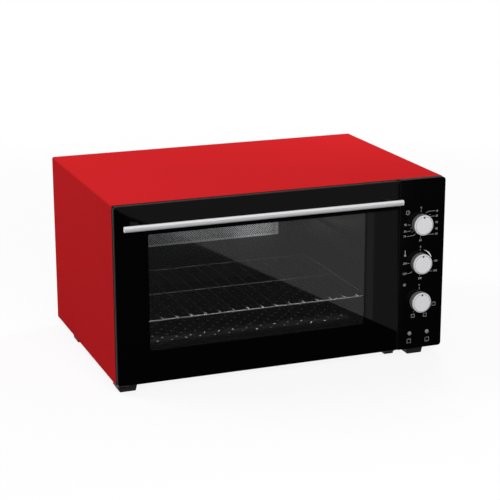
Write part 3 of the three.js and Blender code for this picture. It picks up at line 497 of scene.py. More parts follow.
def makeCasing():
    size = casing
    wide, high, gauge = size["width"], size["height"], size["gauge"]
    corner, flange, bend = size["corner"], size["flange"], size["insideBend"]
    join = size["join"] * mm
    outer = roundedLoop(0, wide, 0, high, (gauge, gauge, corner, corner), size["arcSteps"])
    inner = roundedLoop(gauge, wide - gauge, gauge, high - gauge,
                        (bend, bend, corner - gauge, corner - gauge), size["arcSteps"])
    # From the right flange's tip over the top to the left flange's tip, and back inside.
    arc = size["arcSteps"] + 1
    around, back = [loop[arc:] + loop[:arc] for loop in (outer, inner)]
    sheet = [(wide - flange, 0)] + around + [(flange, 0), (flange, gauge)]
    sheet += back[::-1] + [(wide - flange, gauge)]
    bm = plated([frontLoop(sheet, y) for y in (0, size["depth"])])
    bmesh.ops.remove_doubles(bm, verts=bm.verts, dist=join)
    bmesh.ops.recalc_face_normals(bm, faces=bm.faces)
    ends = [edge for edge in bm.edges
            if abs(edge.verts[0].co.y - edge.verts[1].co.y) < join and edge.is_manifold]
    bmesh.ops.bevel(bm, geom=ends, offset=size["edge"] * mm, segments=2, profile=0.5,
                    affect="EDGES")
    finishPiece(bm, "casing_wrapper", ["redEnamel"], "oven", "red_enamel", ["outer_casing"])


makeCasing()
print("casing made")


# Door

bothSides = ("left", "right")
# radii: from the lower left corner against the clock. The seam side's corners are the tighter.
glass = {"low": (0.4, 0.4), "high": (479.6, 287.6), "face": -11.4, "back": -7.4,
         "radii": (5, 1, 1, 5), "leastRadius": 0.3, "edge": 0.5, "ease": 0.15, "smooth": 30}
window = {"low": (54, 53), "high": (417.5, 240), "corner": 3}


def makeDoorGlass():
    size = glass
    face, back, edge, ease = size["face"], size["back"], size["edge"], size["ease"]

    def outline(inset, y):
        radii = [max(radius - inset, size["leastRadius"]) for radius in size["radii"]]
        return frontLoop(insetLoop(size["low"], size["high"], inset, radii), y)
    pane = insetLoop(window["low"], window["high"], 0, window["corner"])
    loops = [frontLoop(pane, face), outline(edge, face), outline(ease, face + ease),
             outline(0, face + edge), outline(0, back - edge), outline(edge, back),
             frontLoop(pane, back)]
    bm = plated(loops, [0, 2, 2, 2, 2, 0, 1, 3])
    finishPiece(bm, "door_glass_pane", ["printedGlass", "windowGlass", "glassEdge", "windowBack"],
                "door", "dark_glass", ["door_outer_glass"], size["smooth"])


innerPane = {"edge": 0.4, "corner": 4}


def makeInnerGlass():
    low, high = boxOf("door_inner_glass")
    edge = innerPane["edge"]
    loops = []
    for y, inset in ((low.y, edge), (low.y + edge, 0), (high.y - edge, 0), (high.y, edge)):
        flat = insetLoop(low.xz, high.xz, inset, innerPane["corner"])
        loops.append([Vector((x, y, z)) * mm for x, z in flat])
    bm = plated(loops, [1, 1, 1, 0, 0])
    finishPiece(bm, "door_inner_pane", ["innerGlass", "glassEdge"], "door", "clear_glass",
                ["door_inner_glass"], glass["smooth"])


handleSizes = {"corner": 3.4, "end": 1.1, "steps": 7, "endSteps": 4, "smooth": 40}


def makeHandle():
    size = handleSizes
    low, high = boxOf("handle_bar")
    end, parts = size["end"], size["endSteps"]
    turns = [math.radians(90 * i / parts) for i in range(parts + 1)]
    rounding = [(end * (1 - math.sin(turn)), end * (1 - math.cos(turn))) for turn in turns]
    loops = []
    for x, way in ((low.x, 1), (high.x, -1)):
        for inset, along in rounding[::way]:
            flat = insetLoop(low.yz, high.yz, inset, size["corner"] - inset, size["steps"])
            loops.append([Vector((x + way * along, y, z)) * mm for y, z in flat])
    return finishPiece(plated(loops), "handle_grip_bar", ["handleSilver"], "door",
                       "handle_steel", ["handle_bar"], size["smooth"])


makeDoorGlass()
makeInnerGlass()
makeHandle().visible_glossy = False
print("door made")


# Knobs and lamps

knobHeights = {"timer": 213, "thermostat": 147.3, "selector": 81.6}
# section: distance in from the rim, depth behind the face, and the finish from there on. It runs
# over a fine groove, a bright rounded rim and the side with one shallow step. The groove and the
# side take a darker copy of the knob's finish, as painted shade.
knob = {"radius": 17, "face": -24.5, "back": -12, "x": 517, "sides": 80, "smooth": 32,
        "section": [(2.6, 0.06, 1), (2.4, 0.3, 1), (2.15, 0.3, 1), (1.95, 0.08, 0), (1.2, 0.3, 0),
                    (0.5, 0.85, 0), (0.14, 1.6, 0), (0, 2.4, 1), (0, 5, 1), (0.3, 5.2, 1),
                    (0.3, 5.8, 1), (0, 6, 1)], "backEdge": (0.5, 0.6),
        "dotRadius": 1.6, "dotFromRim": 4.1, "dotDepth": 0.5, "dotSides": 28, "drillReach": 2}


def makeKnob(name, z):
    size = knob
    radius, face, back = size["radius"], size["face"], size["back"]
    inset, deep = size["backEdge"]
    profile = [(0, face)] + [(radius - inward, face + far) for inward, far, _ in size["section"]]
    profile += [(radius, back - deep), (radius - inset, back), (0, back)]
    mats = [0] + [finish for _, _, finish in size["section"]] + [1, 1, 1]
    materials = ["knobSatin", "knobSidePaintedShade", "dotBlack"]
    body = turned(profile, size["sides"], at(size["x"], 0, z), mats=mats)
    start, end = face - size["drillReach"], face + size["dotDepth"]
    ends = [(0, start), (size["dotRadius"], start), (size["dotRadius"], end), (0, end)]
    dot = at(size["x"], 0, z + radius - size["dotFromRim"])
    tool = turned(ends, size["dotSides"], dot, mats=[2] * 3)
    holder = addObject("knob_holder", meshFrom(body, "knob_body", materials))
    drill = addObject("knob_drill", meshFrom(tool, "knob_dot", materials))
    cut = holder.modifiers.new("dot", "BOOLEAN")
    cut.operation, cut.solver, cut.object = "DIFFERENCE", "EXACT", drill
    bm = bmesh.new()
    bm.from_mesh(plainMesh(holder))
    holder.modifiers.remove(cut)
    dropObjects(holder, drill)
    finishPiece(bm, f"{name}_dial_cap", materials, f"{name}_dial", "satin_grey",
                [f"{name}_knob"], size["smooth"])


# crown: shares of the lens's radius, and depths behind its face.
lampSizes = {"radius": 3.5, "collar": 5, "body": 3, "face": -12.2, "collarFront": -7.7,
             "collarBack": -3.7, "back": 9, "height": 26.5, "sides": 36, "smooth": 32,
             "crown": [(0, 0.02), (0.45, 0.06), (0.78, 0.22), (0.93, 0.5), (1, 0.9)]}
lampPlaces = {"power_lamp": 502, "heating_lamp": 534}


def makeLamp(node, x):
    size = lampSizes
    radius, collar, body = size["radius"], size["collar"], size["body"]
    profile = [(radius * share, size["face"] + deep) for share, deep in size["crown"]]
    profile += [(radius, size["collarFront"]), (collar, size["collarFront"]),
                (collar, size["collarBack"]), (body, size["collarBack"]), (body, size["back"]),
                (0, size["back"])]
    bm = turned(profile, size["sides"], at(x, 0, size["height"]))
    finishPiece(bm, f"{node}_lens", ["lens"], "oven", "lamp_lens", [node], size["smooth"])


strip = {"edge": 0.35, "forwards": -0.95}


def makeStrip():
    # Only the front of the strip is glossy.
    bm = copyNode("control_panel", strip["edge"])
    bmesh.ops.recalc_face_normals(bm, faces=bm.faces)
    for face in bm.faces:
        face.material_index = 0 if face.normal.y < strip["forwards"] else 1
    finishPiece(bm, "control_strip", ["stripBlack", "stripEdge"], "oven", "black_gloss",
                ["control_panel"])


for name, z in knobHeights.items():
    makeKnob(name, z)
for node, x in lampPlaces.items():
    makeLamp(node, x)
makeStrip()
print("controls made")


# Printed scales on the control strip

printing = {"face": -11.4, "thick": 0.06, "sunk": 0.03, "line": 0.5, "digit": 3.3,
            "capShare": 0.7, "curveSteps": 3, "mitre": 0.3}


def addStroke(bm, points, widths, closed=False, mat=0):
    # A flat printed line through points given across and up the strip, with mitred bends.
    # widths: one width, or one for each point.
    spots = [Vector(point) for point in points]
    last = len(spots) - 1
    if not isinstance(widths, list):
        widths = [widths] * len(spots)
        if not closed:
            for end, inner in ((0, 1), (last, last - 1)):
                spots[end] += (spots[end] - spots[inner]).normalized() * widths[0] / 2
    rings = []
    for i, spot in enumerate(spots):
        into = spot - spots[i - 1] if i or closed else spots[1] - spots[0]
        away = spots[(i + 1) % len(spots)] - spot if i < last or closed else into
        into, away = into.normalized(), away.normalized()
        across = Vector((-into.y - away.y, into.x + away.x)).normalized()
        lean = abs(across.dot(Vector((-into.y, into.x))))
        reach = across * widths[i] / 2 / max(printing["mitre"], lean)
        corners = [(spot + reach, -printing["thick"]), (spot - reach, -printing["thick"]),
                   (spot - reach, printing["sunk"]), (spot + reach, printing["sunk"])]
        rings.append(addLoop(bm, [at(flat.x, printing["face"] + rise, flat.y)
                                  for flat, rise in corners]))
    for first, second in zip(rings, rings[1:] + rings[:1] if closed else rings[1:]):
        addRing(bm, first, second, mat)
    if not closed:
        addCap(bm, rings[0], mat)
        addCap(bm, rings[-1], mat)


def addDigits(bm, words, x, z):
    curve = bpy.data.curves.new("scale_words", "FONT")
    curve.body = words
    curve.size = printing["digit"] * mm / printing["capShare"]
    curve.align_x, curve.align_y = "CENTER", "CENTER"
    curve.extrude = (printing["thick"] + printing["sunk"]) / 2 * mm
    curve.resolution_u = printing["curveSteps"]
    holder = addObject("scale_words", curve)
    mesh = plainMesh(holder)
    dropObjects(holder)
    middle = (printing["sunk"] - printing["thick"]) / 2 + printing["face"]
    upright = Matrix.Rotation(math.radians(90), 4, "X")
    mesh.transform(Matrix.Translation(at(x, middle, z)) @ upright)
    addMesh(bm, mesh)


def arc(x, z, radius, start, end, steps):
    # Points of an arc, by the clock from twelve.
    turns = [math.radians(start + (end - start) * i / steps) for i in range(steps + 1)]
    return [(x + radius * math.sin(turn), z + radius * math.cos(turn)) for turn in turns]


signSizes = {"square": 0.45, "bar": 0.22, "barInset": 1.3, "barEnd": 1.5}


def addHeatSign(bm, x, z, half, bars):
    # The usual sign of an oven mode: a square with a bar for each heated side.
    corners = [(-half, -half), (half, -half), (half, half), (-half, half)]
    addStroke(bm, [(x + across, z + up) for across, up in corners], signSizes["square"], True)
    reach = half - signSizes["barEnd"]
    for way in bars:
        bar = z + way * (half - signSizes["barInset"])
        addStroke(bm, [(x - reach, bar), (x + reach, bar)], signSizes["bar"])


# Each dial's print, placed from its knob's middle. words: text and place. lines: points. drawn:
# a width and its points. rounds: place, radius, width and sides. signs: place, half width and
# heated sides, 1 for the top and -1 for the bottom.
dialPrint = {
    "timer": {
        "words": [("0", 0.1, 26.9), ("10", 28.5, 19), ("20", 28.7, 10.8), ("30", 28.5, 0),
                  ("40", 28.7, -10.8), ("50", 28.7, -19.8), ("60", 0.1, -28),
                  ("70", -28.6, -19), ("80", -27.9, -10.6), ("90", -27.6, 0.4)],
        "lines": [[(0.1, 23.2), (0.1, 19.8)], [(9, 17.6), (13.4, 19.6), (24.6, 19.9)],
                  [(15.6, 10.2), (24.6, 10.9)], [(12.6, -19.4), (24.6, -19.6)],
                  [(0.1, -24), (0.1, -20)], [(-23.6, -19.4), (-12, -18.4), (-8.6, -15.8)],
                  [(-23.4, -11.0), (-17.6, -10.2)], [(-23.2, -0.2), (-18.4, -0.2)],
                  [(15.4, 13.8), (16.6, 14.8)], [(-14.2, -12), (-15.2, -12.8)],
                  [(-16.6, -5.2), (-18, -5.6)]],
        "drawn": [(0.45, [(-22.2, 22.9), (-23.7, 20.3), (-22.1, 19.4)])],
        "rounds": [(-23.7, 20.5, 3.4, 0.5, 18)],
    },
    "thermostat": {
        "words": [("0", 0.5, 26.8), ("100", 29, 0), ("150", 28.4, -16.7),
                  ("200", 0.9, -27), ("250", -27, -16.6), ("300", -27, 0.8)],
        "lines": [[(0.6, 23), (0.6, 19.8)], [(18.6, -16.7), (23.4, -16.7)],
                  [(0.6, -23.4), (0.6, -20)], [(-22.4, -16.8), (-17.4, -16.4), (-13.6, -14)],
                  [(-22.4, 0.6), (-18.6, 0.4)]],
        "drawn": [(1, [(-26.9, 16.6), (-26.9, 22.7)])],
        "rounds": [(-26.9, 14.4, 1.2, 0.9, 12)],
    },
    "selector": {
        "words": [("0", 0.3, 27.2)],
        "lines": [[(0.6, 23.4), (0.6, 19.6)], [(-8.4, -17.2), (-9, -18.8)]],
        "rounds": [(-26.6, 30, 2.2, 0.4, 18), (-26.6, 30, 0.8, 0.6, 10)],
        "signs": [(27.8, -8, 2.9, (1,)), (12.3, -25.7, 2.9, (-1,)), (-9.8, -25, 2.9, (1, -1)),
                  (-15.8, -68, 3.4, (1,)), (17.4, -68.7, 3.4, (-1,))],
    },
}
crescent = {"radius": 21.95, "from": 20, "to": 71, "parts": 30, "tip": 0.4, "thickest": 1.8,
            "skew": 1.6}


def addCrescent(bm, x, z):
    # The heat crescent is thickest past the middle of its arc.
    size = crescent
    parts, gain = size["parts"], size["thickest"] - size["tip"]
    swell = [math.sin(math.pi * (i / parts) ** size["skew"]) for i in range(parts + 1)]
    addStroke(bm, arc(x, z, size["radius"], size["from"], size["to"], parts),
              [size["tip"] + gain * share for share in swell], False, 1)


def makePrinting():
    bm = bmesh.new()
    x = knob["x"]
    for name, marks in dialPrint.items():
        z = knobHeights[name]
        for words, across, up in marks["words"]:
            addDigits(bm, words, x + across, z + up)
        lines = [(printing["line"], points) for points in marks["lines"]]
        for width, points in lines + marks.get("drawn", []):
            addStroke(bm, [(x + across, z + up) for across, up in points], width)
        for across, up, radius, width, steps in marks["rounds"]:
            ring = arc(x + across, z + up, radius, 0, 360 - 360 / steps, steps - 1)
            addStroke(bm, ring, width, True)
        for across, up, half, bars in marks.get("signs", []):
            addHeatSign(bm, x + across, z + up, half, bars)
    addCrescent(bm, x, knobHeights["thermostat"])
    finishPiece(bm, "dial_printing", ["printWhite", "printBright"], "oven", "white_plastic")


makePrinting()
print("scales printed")


# Back and base

vents = {"columns": 3, "rows": 12, "width": 70, "gap": 22, "pitch": 10, "top": 254.6,
         "slot": 4}
hood = {"depth": 3, "rise": 2.4, "wall": 0.5, "knee": 0.45, "kneeRise": 0.75, "lip": 0.45,
        "kneeWall": 0.35, "rootWall": 0.7, "sunk": 0.1}
rear = {"inset": 4, "edge": 0.12, "screwStart": 36, "screwPitch": 122, "screwCount": 5,
        "screwLevels": (12, 276), "sideInset": 9, "sideStart": 100, "sidePitch": 88}


def hoodPart():
    # A pressed hood over a vent slot: open below, closed at its ends.
    half, rise, deep, wall = vents["width"] / 2, hood["rise"], hood["depth"], hood["wall"]
    knee, kneeRise, lip = deep * hood["knee"], rise * hood["kneeRise"], -vents["slot"] * hood["lip"]
    outline = [(0, rise), (knee, kneeRise), (deep, lip), (deep - wall, lip),
               (knee - hood["kneeWall"], kneeRise - wall), (0, rise - hood["rootWall"])]
    return plated([[Vector((x, y, z)) * mm for y, z in outline] for x in (-half, half)])


def makeRear():
    size = rear
    wide, back = casing["width"], casing["depth"] - size["inset"]
    bm = copyNode("rear_panel", size["edge"])
    step = vents["width"] + vents["gap"]
    first = at((wide - (vents["columns"] - 1) * step) / 2, back - hood["sunk"], vents["top"])
    addRepeats(bm, hoodPart(), first, "blackSteel", vents["columns"], step, vents["rows"],
               (0, 0, -vents["pitch"]))
    finishPiece(bm, "rear_cover", ["blackSteel"], "oven", "zinc_steel", ["rear_panel"])
    bm = bmesh.new()
    for z in size["screwLevels"]:
        addRepeats(bm, screwHead(), at(size["screwStart"], back, z), "zinc", size["screwCount"],
                   size["screwPitch"])
    for x in (size["sideInset"], wide - size["sideInset"]):
        addRepeats(bm, screwHead(), at(x, back, size["sideStart"]), "zinc", 1, 0, 2,
                   (0, 0, size["sidePitch"]))
    finishPiece(bm, "rear_screws", ["zinc"], "oven", "zinc_steel")


# section: radius and height from the rear panel's inner face, round a ring.
gland = {"level": 363.3, "sides": 36, "smooth": 35,
         "section": [(4.5, -6.2), (7.5, -6.2), (7.5, 0), (11.4, 0), (12, 0.5), (12, 2.4),
                     (11.2, 3), (8.6, 3.2), (8, 6.2), (7.2, 6.7), (5, 6.7), (4.5, 6.2),
                     (4.5, -6.2)]}


def makeGland():
    low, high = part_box("cable_gland")
    centre = ((low[0] + high[0]) / 2, at(0, gland["level"], 0).y, (low[2] + high[2]) / 2)
    bm = turned(gland["section"], gland["sides"], centre)
    finishPiece(bm, "cord_entry_bush", ["feetBlack"], "oven", "black_plastic", ["cable_gland"],
                gland["smooth"])


floorScrews = {"rows": (60, 330), "start": 55, "pitch": 150, "count": 4, "level": 0.9,
               "scale": 0.9}


def makeBase():
    size = floorScrews
    bm = bmesh.new()
    for y in size["rows"]:
        addRepeats(bm, screwHead((0, 0, -1), size["scale"]), at(size["start"], y, size["level"]),
                   "zinc", size["count"], size["pitch"])
    finishPiece(bm, "floor_screws", ["zinc"], "oven", "zinc_steel")


makeRear()
makeGland()
makeBase()
print("back and base made")


# Cavity

meshSheet = {"edge": 0.12, "pitch": 4.4, "hole": 1.3, "margin": 5, "proud": 0.05, "sunk": 0.2,
             "sides": 6}


def makeMeshSheet():
    size = meshSheet
    low, high = boxOf("rear_mesh_panel")
    bm = copyNode("rear_mesh_panel", size["edge"])
    pitch, margin, radius = size["pitch"], size["margin"], size["hole"]
    columns = int((high.x - low.x - 2 * margin) / pitch)
    rows = int((high.z - low.z - 2 * margin) / (pitch / 2))
    # Each hole is a dark disc set into the sheet's face, painted shade where the sheet is not cut
    # through.
    profile = [(0, -size["proud"]), (radius, -size["proud"]), (radius, size["sunk"]),
               (0, size["sunk"])]
    hole = turned(profile, size["sides"])
    first = Vector(((low.x + high.x) / 2 - (columns - 0.5) / 2 * pitch, low.y, low.z + margin))
    addRepeats(bm, hole, first * mm, "meshHolePaintedShade", columns, pitch, rows, (0, 0, pitch / 2), 1, 0.5)
    finishPiece(bm, "perforated_sheet", ["meshSteel", "meshHolePaintedShade"], "oven", "zinc_steel",
                ["rear_mesh_panel"])


rackSizes = {"frameRadius": 1.4, "wireRadius": 1.1, "pitch": 24, "corner": 5, "tip": 9,
             "frameSides": 16, "wireSides": 10, "joint": 0.02, "cut": 0.4, "cutShare": 0.7,
             "smooth": 50}


def makeRack():
    size = rackSizes
    low, high = boxOf("wire_rack")
    reach, wire, cut = size["frameRadius"], size["wireRadius"], size["cut"]
    left, right = low.x + reach, high.x - reach
    front, back = low.y + reach, high.y - reach
    level = low.z + reach
    centre, middle = (left + right) / 2, (front + back) / 2
    corners = [(centre, front), (right, front), (right, back), (left, back), (left, front),
               (centre - size["joint"], front)]
    bm = bmesh.new()
    route = bentRoute([Vector((x, y, level)) * mm for x, y in corners], size["corner"] * mm)
    addTube(bm, route, reach, size["frameSides"])
    addTube(bm, [Vector((x, middle, level)) * mm for x in (left, right)], reach,
            size["frameSides"])
    count = int((right - left) / size["pitch"])
    start = centre - (count - 1) / 2 * size["pitch"]
    # Rods run from wire to wire in a dark copy of the wire's finish, painted shade. Each has a
    # short pale end lying on the front wire, painted light.
    for near, far, rise, material, mat in (
            (front, back, 0, "rodPaintedShade", 1),
            (front - reach, front + size["tip"], reach, "rodPaintedLightTip", 2)):
        ends = [(0, near), (wire * size["cutShare"], near), (wire, near + cut),
                (wire, far - cut), (wire * size["cutShare"], far), (0, far)]
        rod = turned(ends, size["wireSides"])
        addRepeats(bm, rod, Vector((start, 0, level + rise)) * mm, material, count,
                   size["pitch"], mat=mat)
    finishPiece(bm, "rack_grid", ["chrome", "rodPaintedShade", "rodPaintedLightTip"], "rack", "chrome_wire",
                ["wire_rack"], size["smooth"])


# section: inset from the tray's outline, and height from the floor or, with a 1, from the rim's
# top. It runs up the inside, over the rim and back below.
traySizes = {"corner": 14, "cornerEase": 0.3, "leastRadius": 2, "wall": 1,
             "section": [(13, 0, 0), (11.4, 0.6, 0), (9.4, 2.4, 0), (8.9, -1, 1),
                         (8.2, -0.1, 1), (7.4, 0, 1), (0.3, 0, 1), (0, -0.3, 1), (0, -0.9, 1),
                         (0.3, -1, 1), (8.1, -1, 1), (8.3, 1.6, 0), (10.6, -0.7, 0),
                         (11.8, -1, 0)], "smooth": 40}
# The dome's section is given in shares of its radius and of its rise.
dimples = {"radius": 1.7, "rise": 1, "columns": 15, "pitch": 24.4, "rows": 19, "row": 14,
           "first": (65.6, 38), "sides": 12, "sunk": -0.1,
           "section": [(0, 1), (0.5, 0.85), (0.85, 0.45)]}


def makeTray():
    size = traySizes
    low, high = boxOf("baking_tray")
    floor = low.z + size["wall"]
    loops = []
    for inset, height, fromTop in size["section"]:
        radius = max(size["corner"] - inset * size["cornerEase"], size["leastRadius"])
        z = (high.z if fromTop else floor) + height
        loops.append([Vector((x, y, z)) * mm
                      for x, y in insetLoop(low.xy, high.xy, inset, radius)])
    bm = plated(loops)
    radius, sunk = dimples["radius"], dimples["sunk"]
    profile = [(radius * out, dimples["rise"] * up) for out, up in dimples["section"]]
    dome = turned(profile + [(radius, sunk), (0, sunk)], dimples["sides"], axis=(0, 0, 1))
    first = at(*dimples["first"], 0)
    first.z = floor * mm
    # The domes take the pale finish, a painted glint.
    addRepeats(bm, dome, first, "dimple", dimples["columns"], dimples["pitch"], dimples["rows"],
               (0, dimples["row"], 0), 1, 0.5)
    finishPiece(bm, "dimpled_tray", ["trayEnamel", "dimple"], "tray", "tray_enamel",
                ["baking_tray"], size["smooth"])


elementLevels = {"top": 251, "bottom": 32}
elementSizes = {"radius": 3.3, "ends": (82, 460.6), "runs": (88, 250), "bend": 24,
                "bendSteps": 14, "sides": 18, "smooth": 50}


def makeElement(place, z):
    size = elementSizes
    (left, right), (near, far) = size["ends"], size["runs"]
    corners = [at(x, y, z) for x, y in ((right, near), (left, near), (left, far), (right, far))]
    bm = bmesh.new()
    addTube(bm, bentRoute(corners, size["bend"] * mm, size["bendSteps"]), size["radius"],
            size["sides"])
    finishPiece(bm, f"element_tube_{place}", ["sheath"], "oven", "element_sheath",
                [f"heating_element_{place}"], size["smooth"])


makeMeshSheet()
makeRack()
makeTray()
for place, z in elementLevels.items():
    makeElement(place, z)
print("cavity made")


# Springs

springSizes = {"radius": 3.45, "wire": 0.55, "pitch": 1.6, "perTurn": 14, "hook": 7,
               "lead": 2, "sides": 6, "smooth": 60}


def makeSpring(side):
    size = springSizes
    low, high = boxOf(f"door_spring_{side}")
    middle = (low + high) / 2
    start, end = low.y + size["hook"], high.y - size["hook"]
    count = int((end - start) / size["pitch"] * size["perTurn"])
    route = [(0, low.y, 0), (0, start - size["lead"], 0)]
    for i in range(count + 1):
        turn = 2 * math.pi * i / size["perTurn"]
        route.append((size["radius"] * math.sin(turn), start + (end - start) * i / count,
                      size["radius"] * math.cos(turn)))
    route += [(0, end + size["lead"], 0), (0, high.y, 0)]
    bm = bmesh.new()
    addTube(bm, [Vector((middle.x + x, y, middle.z + z)) * mm for x, y, z in route],
            size["wire"], size["sides"])
    finishPiece(bm, f"spring_coil_{side}", ["springWire"], "oven", "spring_steel",
                [f"door_spring_{side}"], size["smooth"])


for side in bothSides:
    makeSpring(side)
print("springs made")


# Solids whose edges are only broken: node, name, finish, body, slot and the width of the edge.
# A star stands for each of the words that follow.
softened = [
    ("door_frame", "door_pressing", "blackSteel", "door", "black_steel", 0.2, [""]),
    ("handle_post_*", "handle_standoff_*", "feetBlack", "door", "black_plastic", 0.5, bothSides),
    ("door_hinge_plate_*", "hinge_leaf_*", "blackSteel", "door", "zinc_steel", 0.12, bothSides),
    ("foot_*", "rubber_foot_*", "feetBlack", "oven", "black_plastic", 1,
     ["front_left", "rear_left", "front_right", "rear_right"]),
    ("hinge_bracket_*", "hinge_hanger_*", "blackSteel", "oven", "black_steel", 0.2, bothSides),
    ("arm_roller_*", "arm_guide_*", "zinc", "oven", "zinc_steel", 0.2, bothSides),
    ("hinge_arm_*", "swing_arm_*", "zinc", "*_arm", "zinc_steel", 0.25, bothSides),
    ("base_panel", "floor_pan", "zinc", "oven", "zinc_steel", 0.12, [""]),
    ("front_frame", "front_plate", "blackSteel", "oven", "black_steel", 0.12, [""]),
    ("cavity_liner", "cavity_box", "linerGrey", "oven", "liner_enamel", 0.15, [""]),
    ("element_flange_*", "element_plate_*", "zinc", "oven", "zinc_steel", 0.2, elementLevels),
    ("element_clip_*", "element_hanger_*", "zinc", "oven", "zinc_steel", 0.4, elementLevels),
    ("terminal_block", "terminal_strip", "terminalWhite", "oven", "white_plastic", 0.5, [""]),
    ("*_body", "*_switch", "switchCase", "oven", "switch_housing", 0.8, knobHeights),
]
for *labels, width, words in softened:
    for word in words:
        node, name, material, body, slotName = [label.replace("*", word) for label in labels]
        piece = finishPiece(copyNode(node, width), name, [material], body, slotName, [node])
        piece.visible_glossy = not node.startswith("handle_post")

# Solids shown as they are: node, finish and the words for its star.
shown = [
    ("thermostat_bulb", "copper", [""]), ("capillary_tube", "copper", [""]),
    ("wiring_loom", "sleeve", [""]), ("*_shaft", "zinc", knobHeights),
    ("handle_screw_*", "zinc", bothSides), ("arm_pin_*", "zinc", bothSides),
    ("hinge_pin_*", "blackSteel", bothSides),
]
for label, material, words in shown:
    for word in words:
        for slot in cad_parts[label.replace("*", word)].material_slots:
            slot.material = finishes[material]
print("solids dressed")


# Floor, light and camera

white = (1.0, 1.0, 1.0, 1.0)
cameraSizes = {
    "place": (-0.887, -2.3468, 0.869), "lens": 111.164, "sensor": 36, "clip": 60,
    "right": (0.93432628, -0.35641496, -0.00166734),
    "up": (0.09838924, 0.2534212, 0.96233946),
}


def makeCamera():
    size = cameraSizes
    data = bpy.data.cameras.new("photo_camera")
    data.lens, data.sensor_width, data.clip_end = size["lens"], size["sensor"], size["clip"]
    camera = addObject("photo_camera", data)
    right, up = Vector(size["right"]), Vector(size["up"])
    facing = Matrix((right, up, right.cross(up))).transposed().to_4x4()
    camera.matrix_world = Matrix.Translation(Vector(size["place"])) @ facing
    bpy.context.scene.camera = camera


def backgroundShare(pen):
    # One for rays that see the background: from the camera, or by way of gloss or glass.
    seen = [pen.node("ShaderNodeLightPath", out=f"Is {kind} Ray")
            for kind in ("Camera", "Glossy", "Transmission")]
    return pen.calc("MINIMUM", seen[0] + seen[1] + seen[2], 1.0)


def glowing(pen, strength):
    return pen.node("ShaderNodeEmission", {}, {"Color": white, "Strength": strength})


def addSheet(name, points, material):
    mesh = bpy.data.meshes.new(name)
    mesh.from_pydata(points, [], [list(range(len(points)))])
    mesh.materials.append(material)
    return addObject(name, mesh)


stageSizes = {"floor": 12, "bounce": 0.5, "glow": 0.86, "fullFrom": 0.6, "fullOver": 1.2,
              "worldGlow": 0.3}


def floorSurface(pen):
    # Where it is seen, the floor is white and keeps the shadow near the oven. What it throws
    # back onto the oven is less.
    size = stageSizes
    seen = backgroundShare(pen)
    colour = mixed(pen, seen, shaded(white, size["bounce"]), white)
    matt = pen.node("ShaderNodeBsdfDiffuse", {}, {"Color": colour})
    place = pen.node("ShaderNodeTexCoord", out="Object")
    far = pen.node("ShaderNodeVectorMath", {"operation": "LENGTH"}, {0: place}, "Value")
    far = (far - size["fullFrom"]) / size["fullOver"]
    far = pen.calc("MINIMUM", pen.calc("MAXIMUM", far, 0.0), 1.0)
    share = seen * (far * (1 - size["glow"]) + size["glow"])
    return pen.node("ShaderNodeMixShader", {}, {0: share, 1: matt, 2: glowing(pen, 1.0)})


def makeFloor():
    half = stageSizes["floor"]
    corners = [(-half, -half, 0), (half, -half, 0), (half, half, 0), (-half, half, 0)]
    floor = addSheet("floor_sheet", corners, makeMaterial("pale_floor", floorSurface))


def makeWorld():
    world = bpy.data.worlds.new("studio")
    bpy.context.scene.world = world
    pen = emptyTree(world)
    glow = stageSizes["worldGlow"]
    strength = backgroundShare(pen) * (1 - glow) + glow
    sky = pen.node("ShaderNodeBackground", {}, {"Color": white, "Strength": strength})
    pen.node("ShaderNodeOutputWorld", {}, {"Surface": sky})


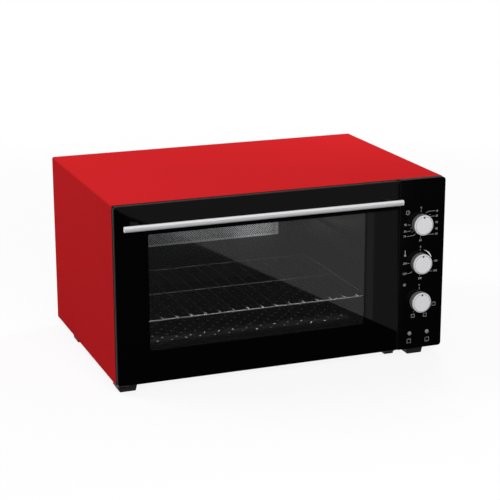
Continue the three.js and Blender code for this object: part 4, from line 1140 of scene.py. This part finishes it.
# Place, target, width, height, power, spread in degrees. The strips lie in the cavity.
softboxes = {
    "front_softbox": ((-0.3, -1.8, 1.0), (0.0, 0.0, 0.15), 1.0, 0.8, 21.7, 180),
    "left_softbox": ((-1, 0.4, 1.3), (-0.28, 0, 0.2), 0.6, 0.6, 9, 180),
    "right_softbox": ((1.6, -1.5, 0.9), (0, 0, 0.15), 1, 1, 1.8, 180),
    "rear_softbox": ((0.6, 0.5, 0.8), (0.1, 0.1, 0.25), 0.4, 0.4, 3.6, 180),
    "rack_strip": (at(240, 9, 112), at(240, 15, 92), 0.38, 0.004, 0.04, 80),
    "tray_strip": (at(240, 66, 75), at(240, 74, 40), 0.38, 0.004, 0.19, 60),
}
for name, x, wide, power in (("long", 255, 0.30, 0.018), ("middle", 305, 0.20, 0.012),
                             ("short", 364, 0.06, 0.015)):
    place, target = at(x, 300, 146), at(x, 338, 131)
    softboxes[f"mesh_{name}_strip"] = (place, target, wide, 0.004, power, 110)


def makeLights():
    for name, (place, target, wide, high, power, spread) in softboxes.items():
        data = bpy.data.lights.new(name, "AREA")
        data.shape, data.size, data.size_y, data.energy = "RECTANGLE", wide, high, power
        data.spread = math.radians(spread)
        light = addObject(name, data)
        light.location = place
        aim = Vector(target) - Vector(place)
        light.rotation_euler = aim.to_track_quat("-Z", "Y").to_euler()
        light.visible_glossy = light.visible_camera = False


# Cards on the floor that only the gloss sees, painting reflections onto the door: strength, and the
# outline that each covers on the door's face as the camera sees it. Dark and grey meet in a line
# from the door's upper left corner to the lower part of the seam. Over them lie a dark band below
# the handle, painted shade, and a pale one along the window's right edge, a painted reflection.
cards = {
    "dark_card": (0, [(-240, -12.5), (760, -12.5), (760, 420), (480.2, 420), (480.2, 32.8),
                      (-240, 415.4)]),
    "grey_card": (0.16, [(480.2, 32.8), (480.2, 600), (-240, 600), (-240, 415.4)]),
    "shade_card": (0, [(-240, 240), (480.2, 240), (480.2, 253), (-240, 253)]),
    "band_card": (0.3, [(421, 64), (434, 58), (434, 240), (421, 240)]),
}
cardStep = 0.4      # height of each card above the one before


def makeCards():
    eye = Vector(cameraSizes["place"])
    plane = at(0, glass["face"], 0).y
    mirrored = Vector((eye.x, 2 * plane - eye.y, eye.z))
    for level, (name, (strength, outline)) in enumerate(cards.items()):
        height = cardStep * mm * (level + 1)
        rays = [at(x, glass["face"], z) - mirrored for x, z in outline]
        points = [mirrored + ray * ((mirrored.z - height) / -ray.z) for ray in rays]
        card = addSheet(name, points, makeMaterial(name, lambda pen: glowing(pen, strength)))
        card.visible_camera = card.visible_diffuse = card.visible_shadow = False
        card.visible_transmission = card.visible_volume_scatter = False


makeCamera()
makeFloor()
makeWorld()
makeLights()
makeCards()
bpy.context.scene.view_settings.view_transform = "Standard"
print("stage set")
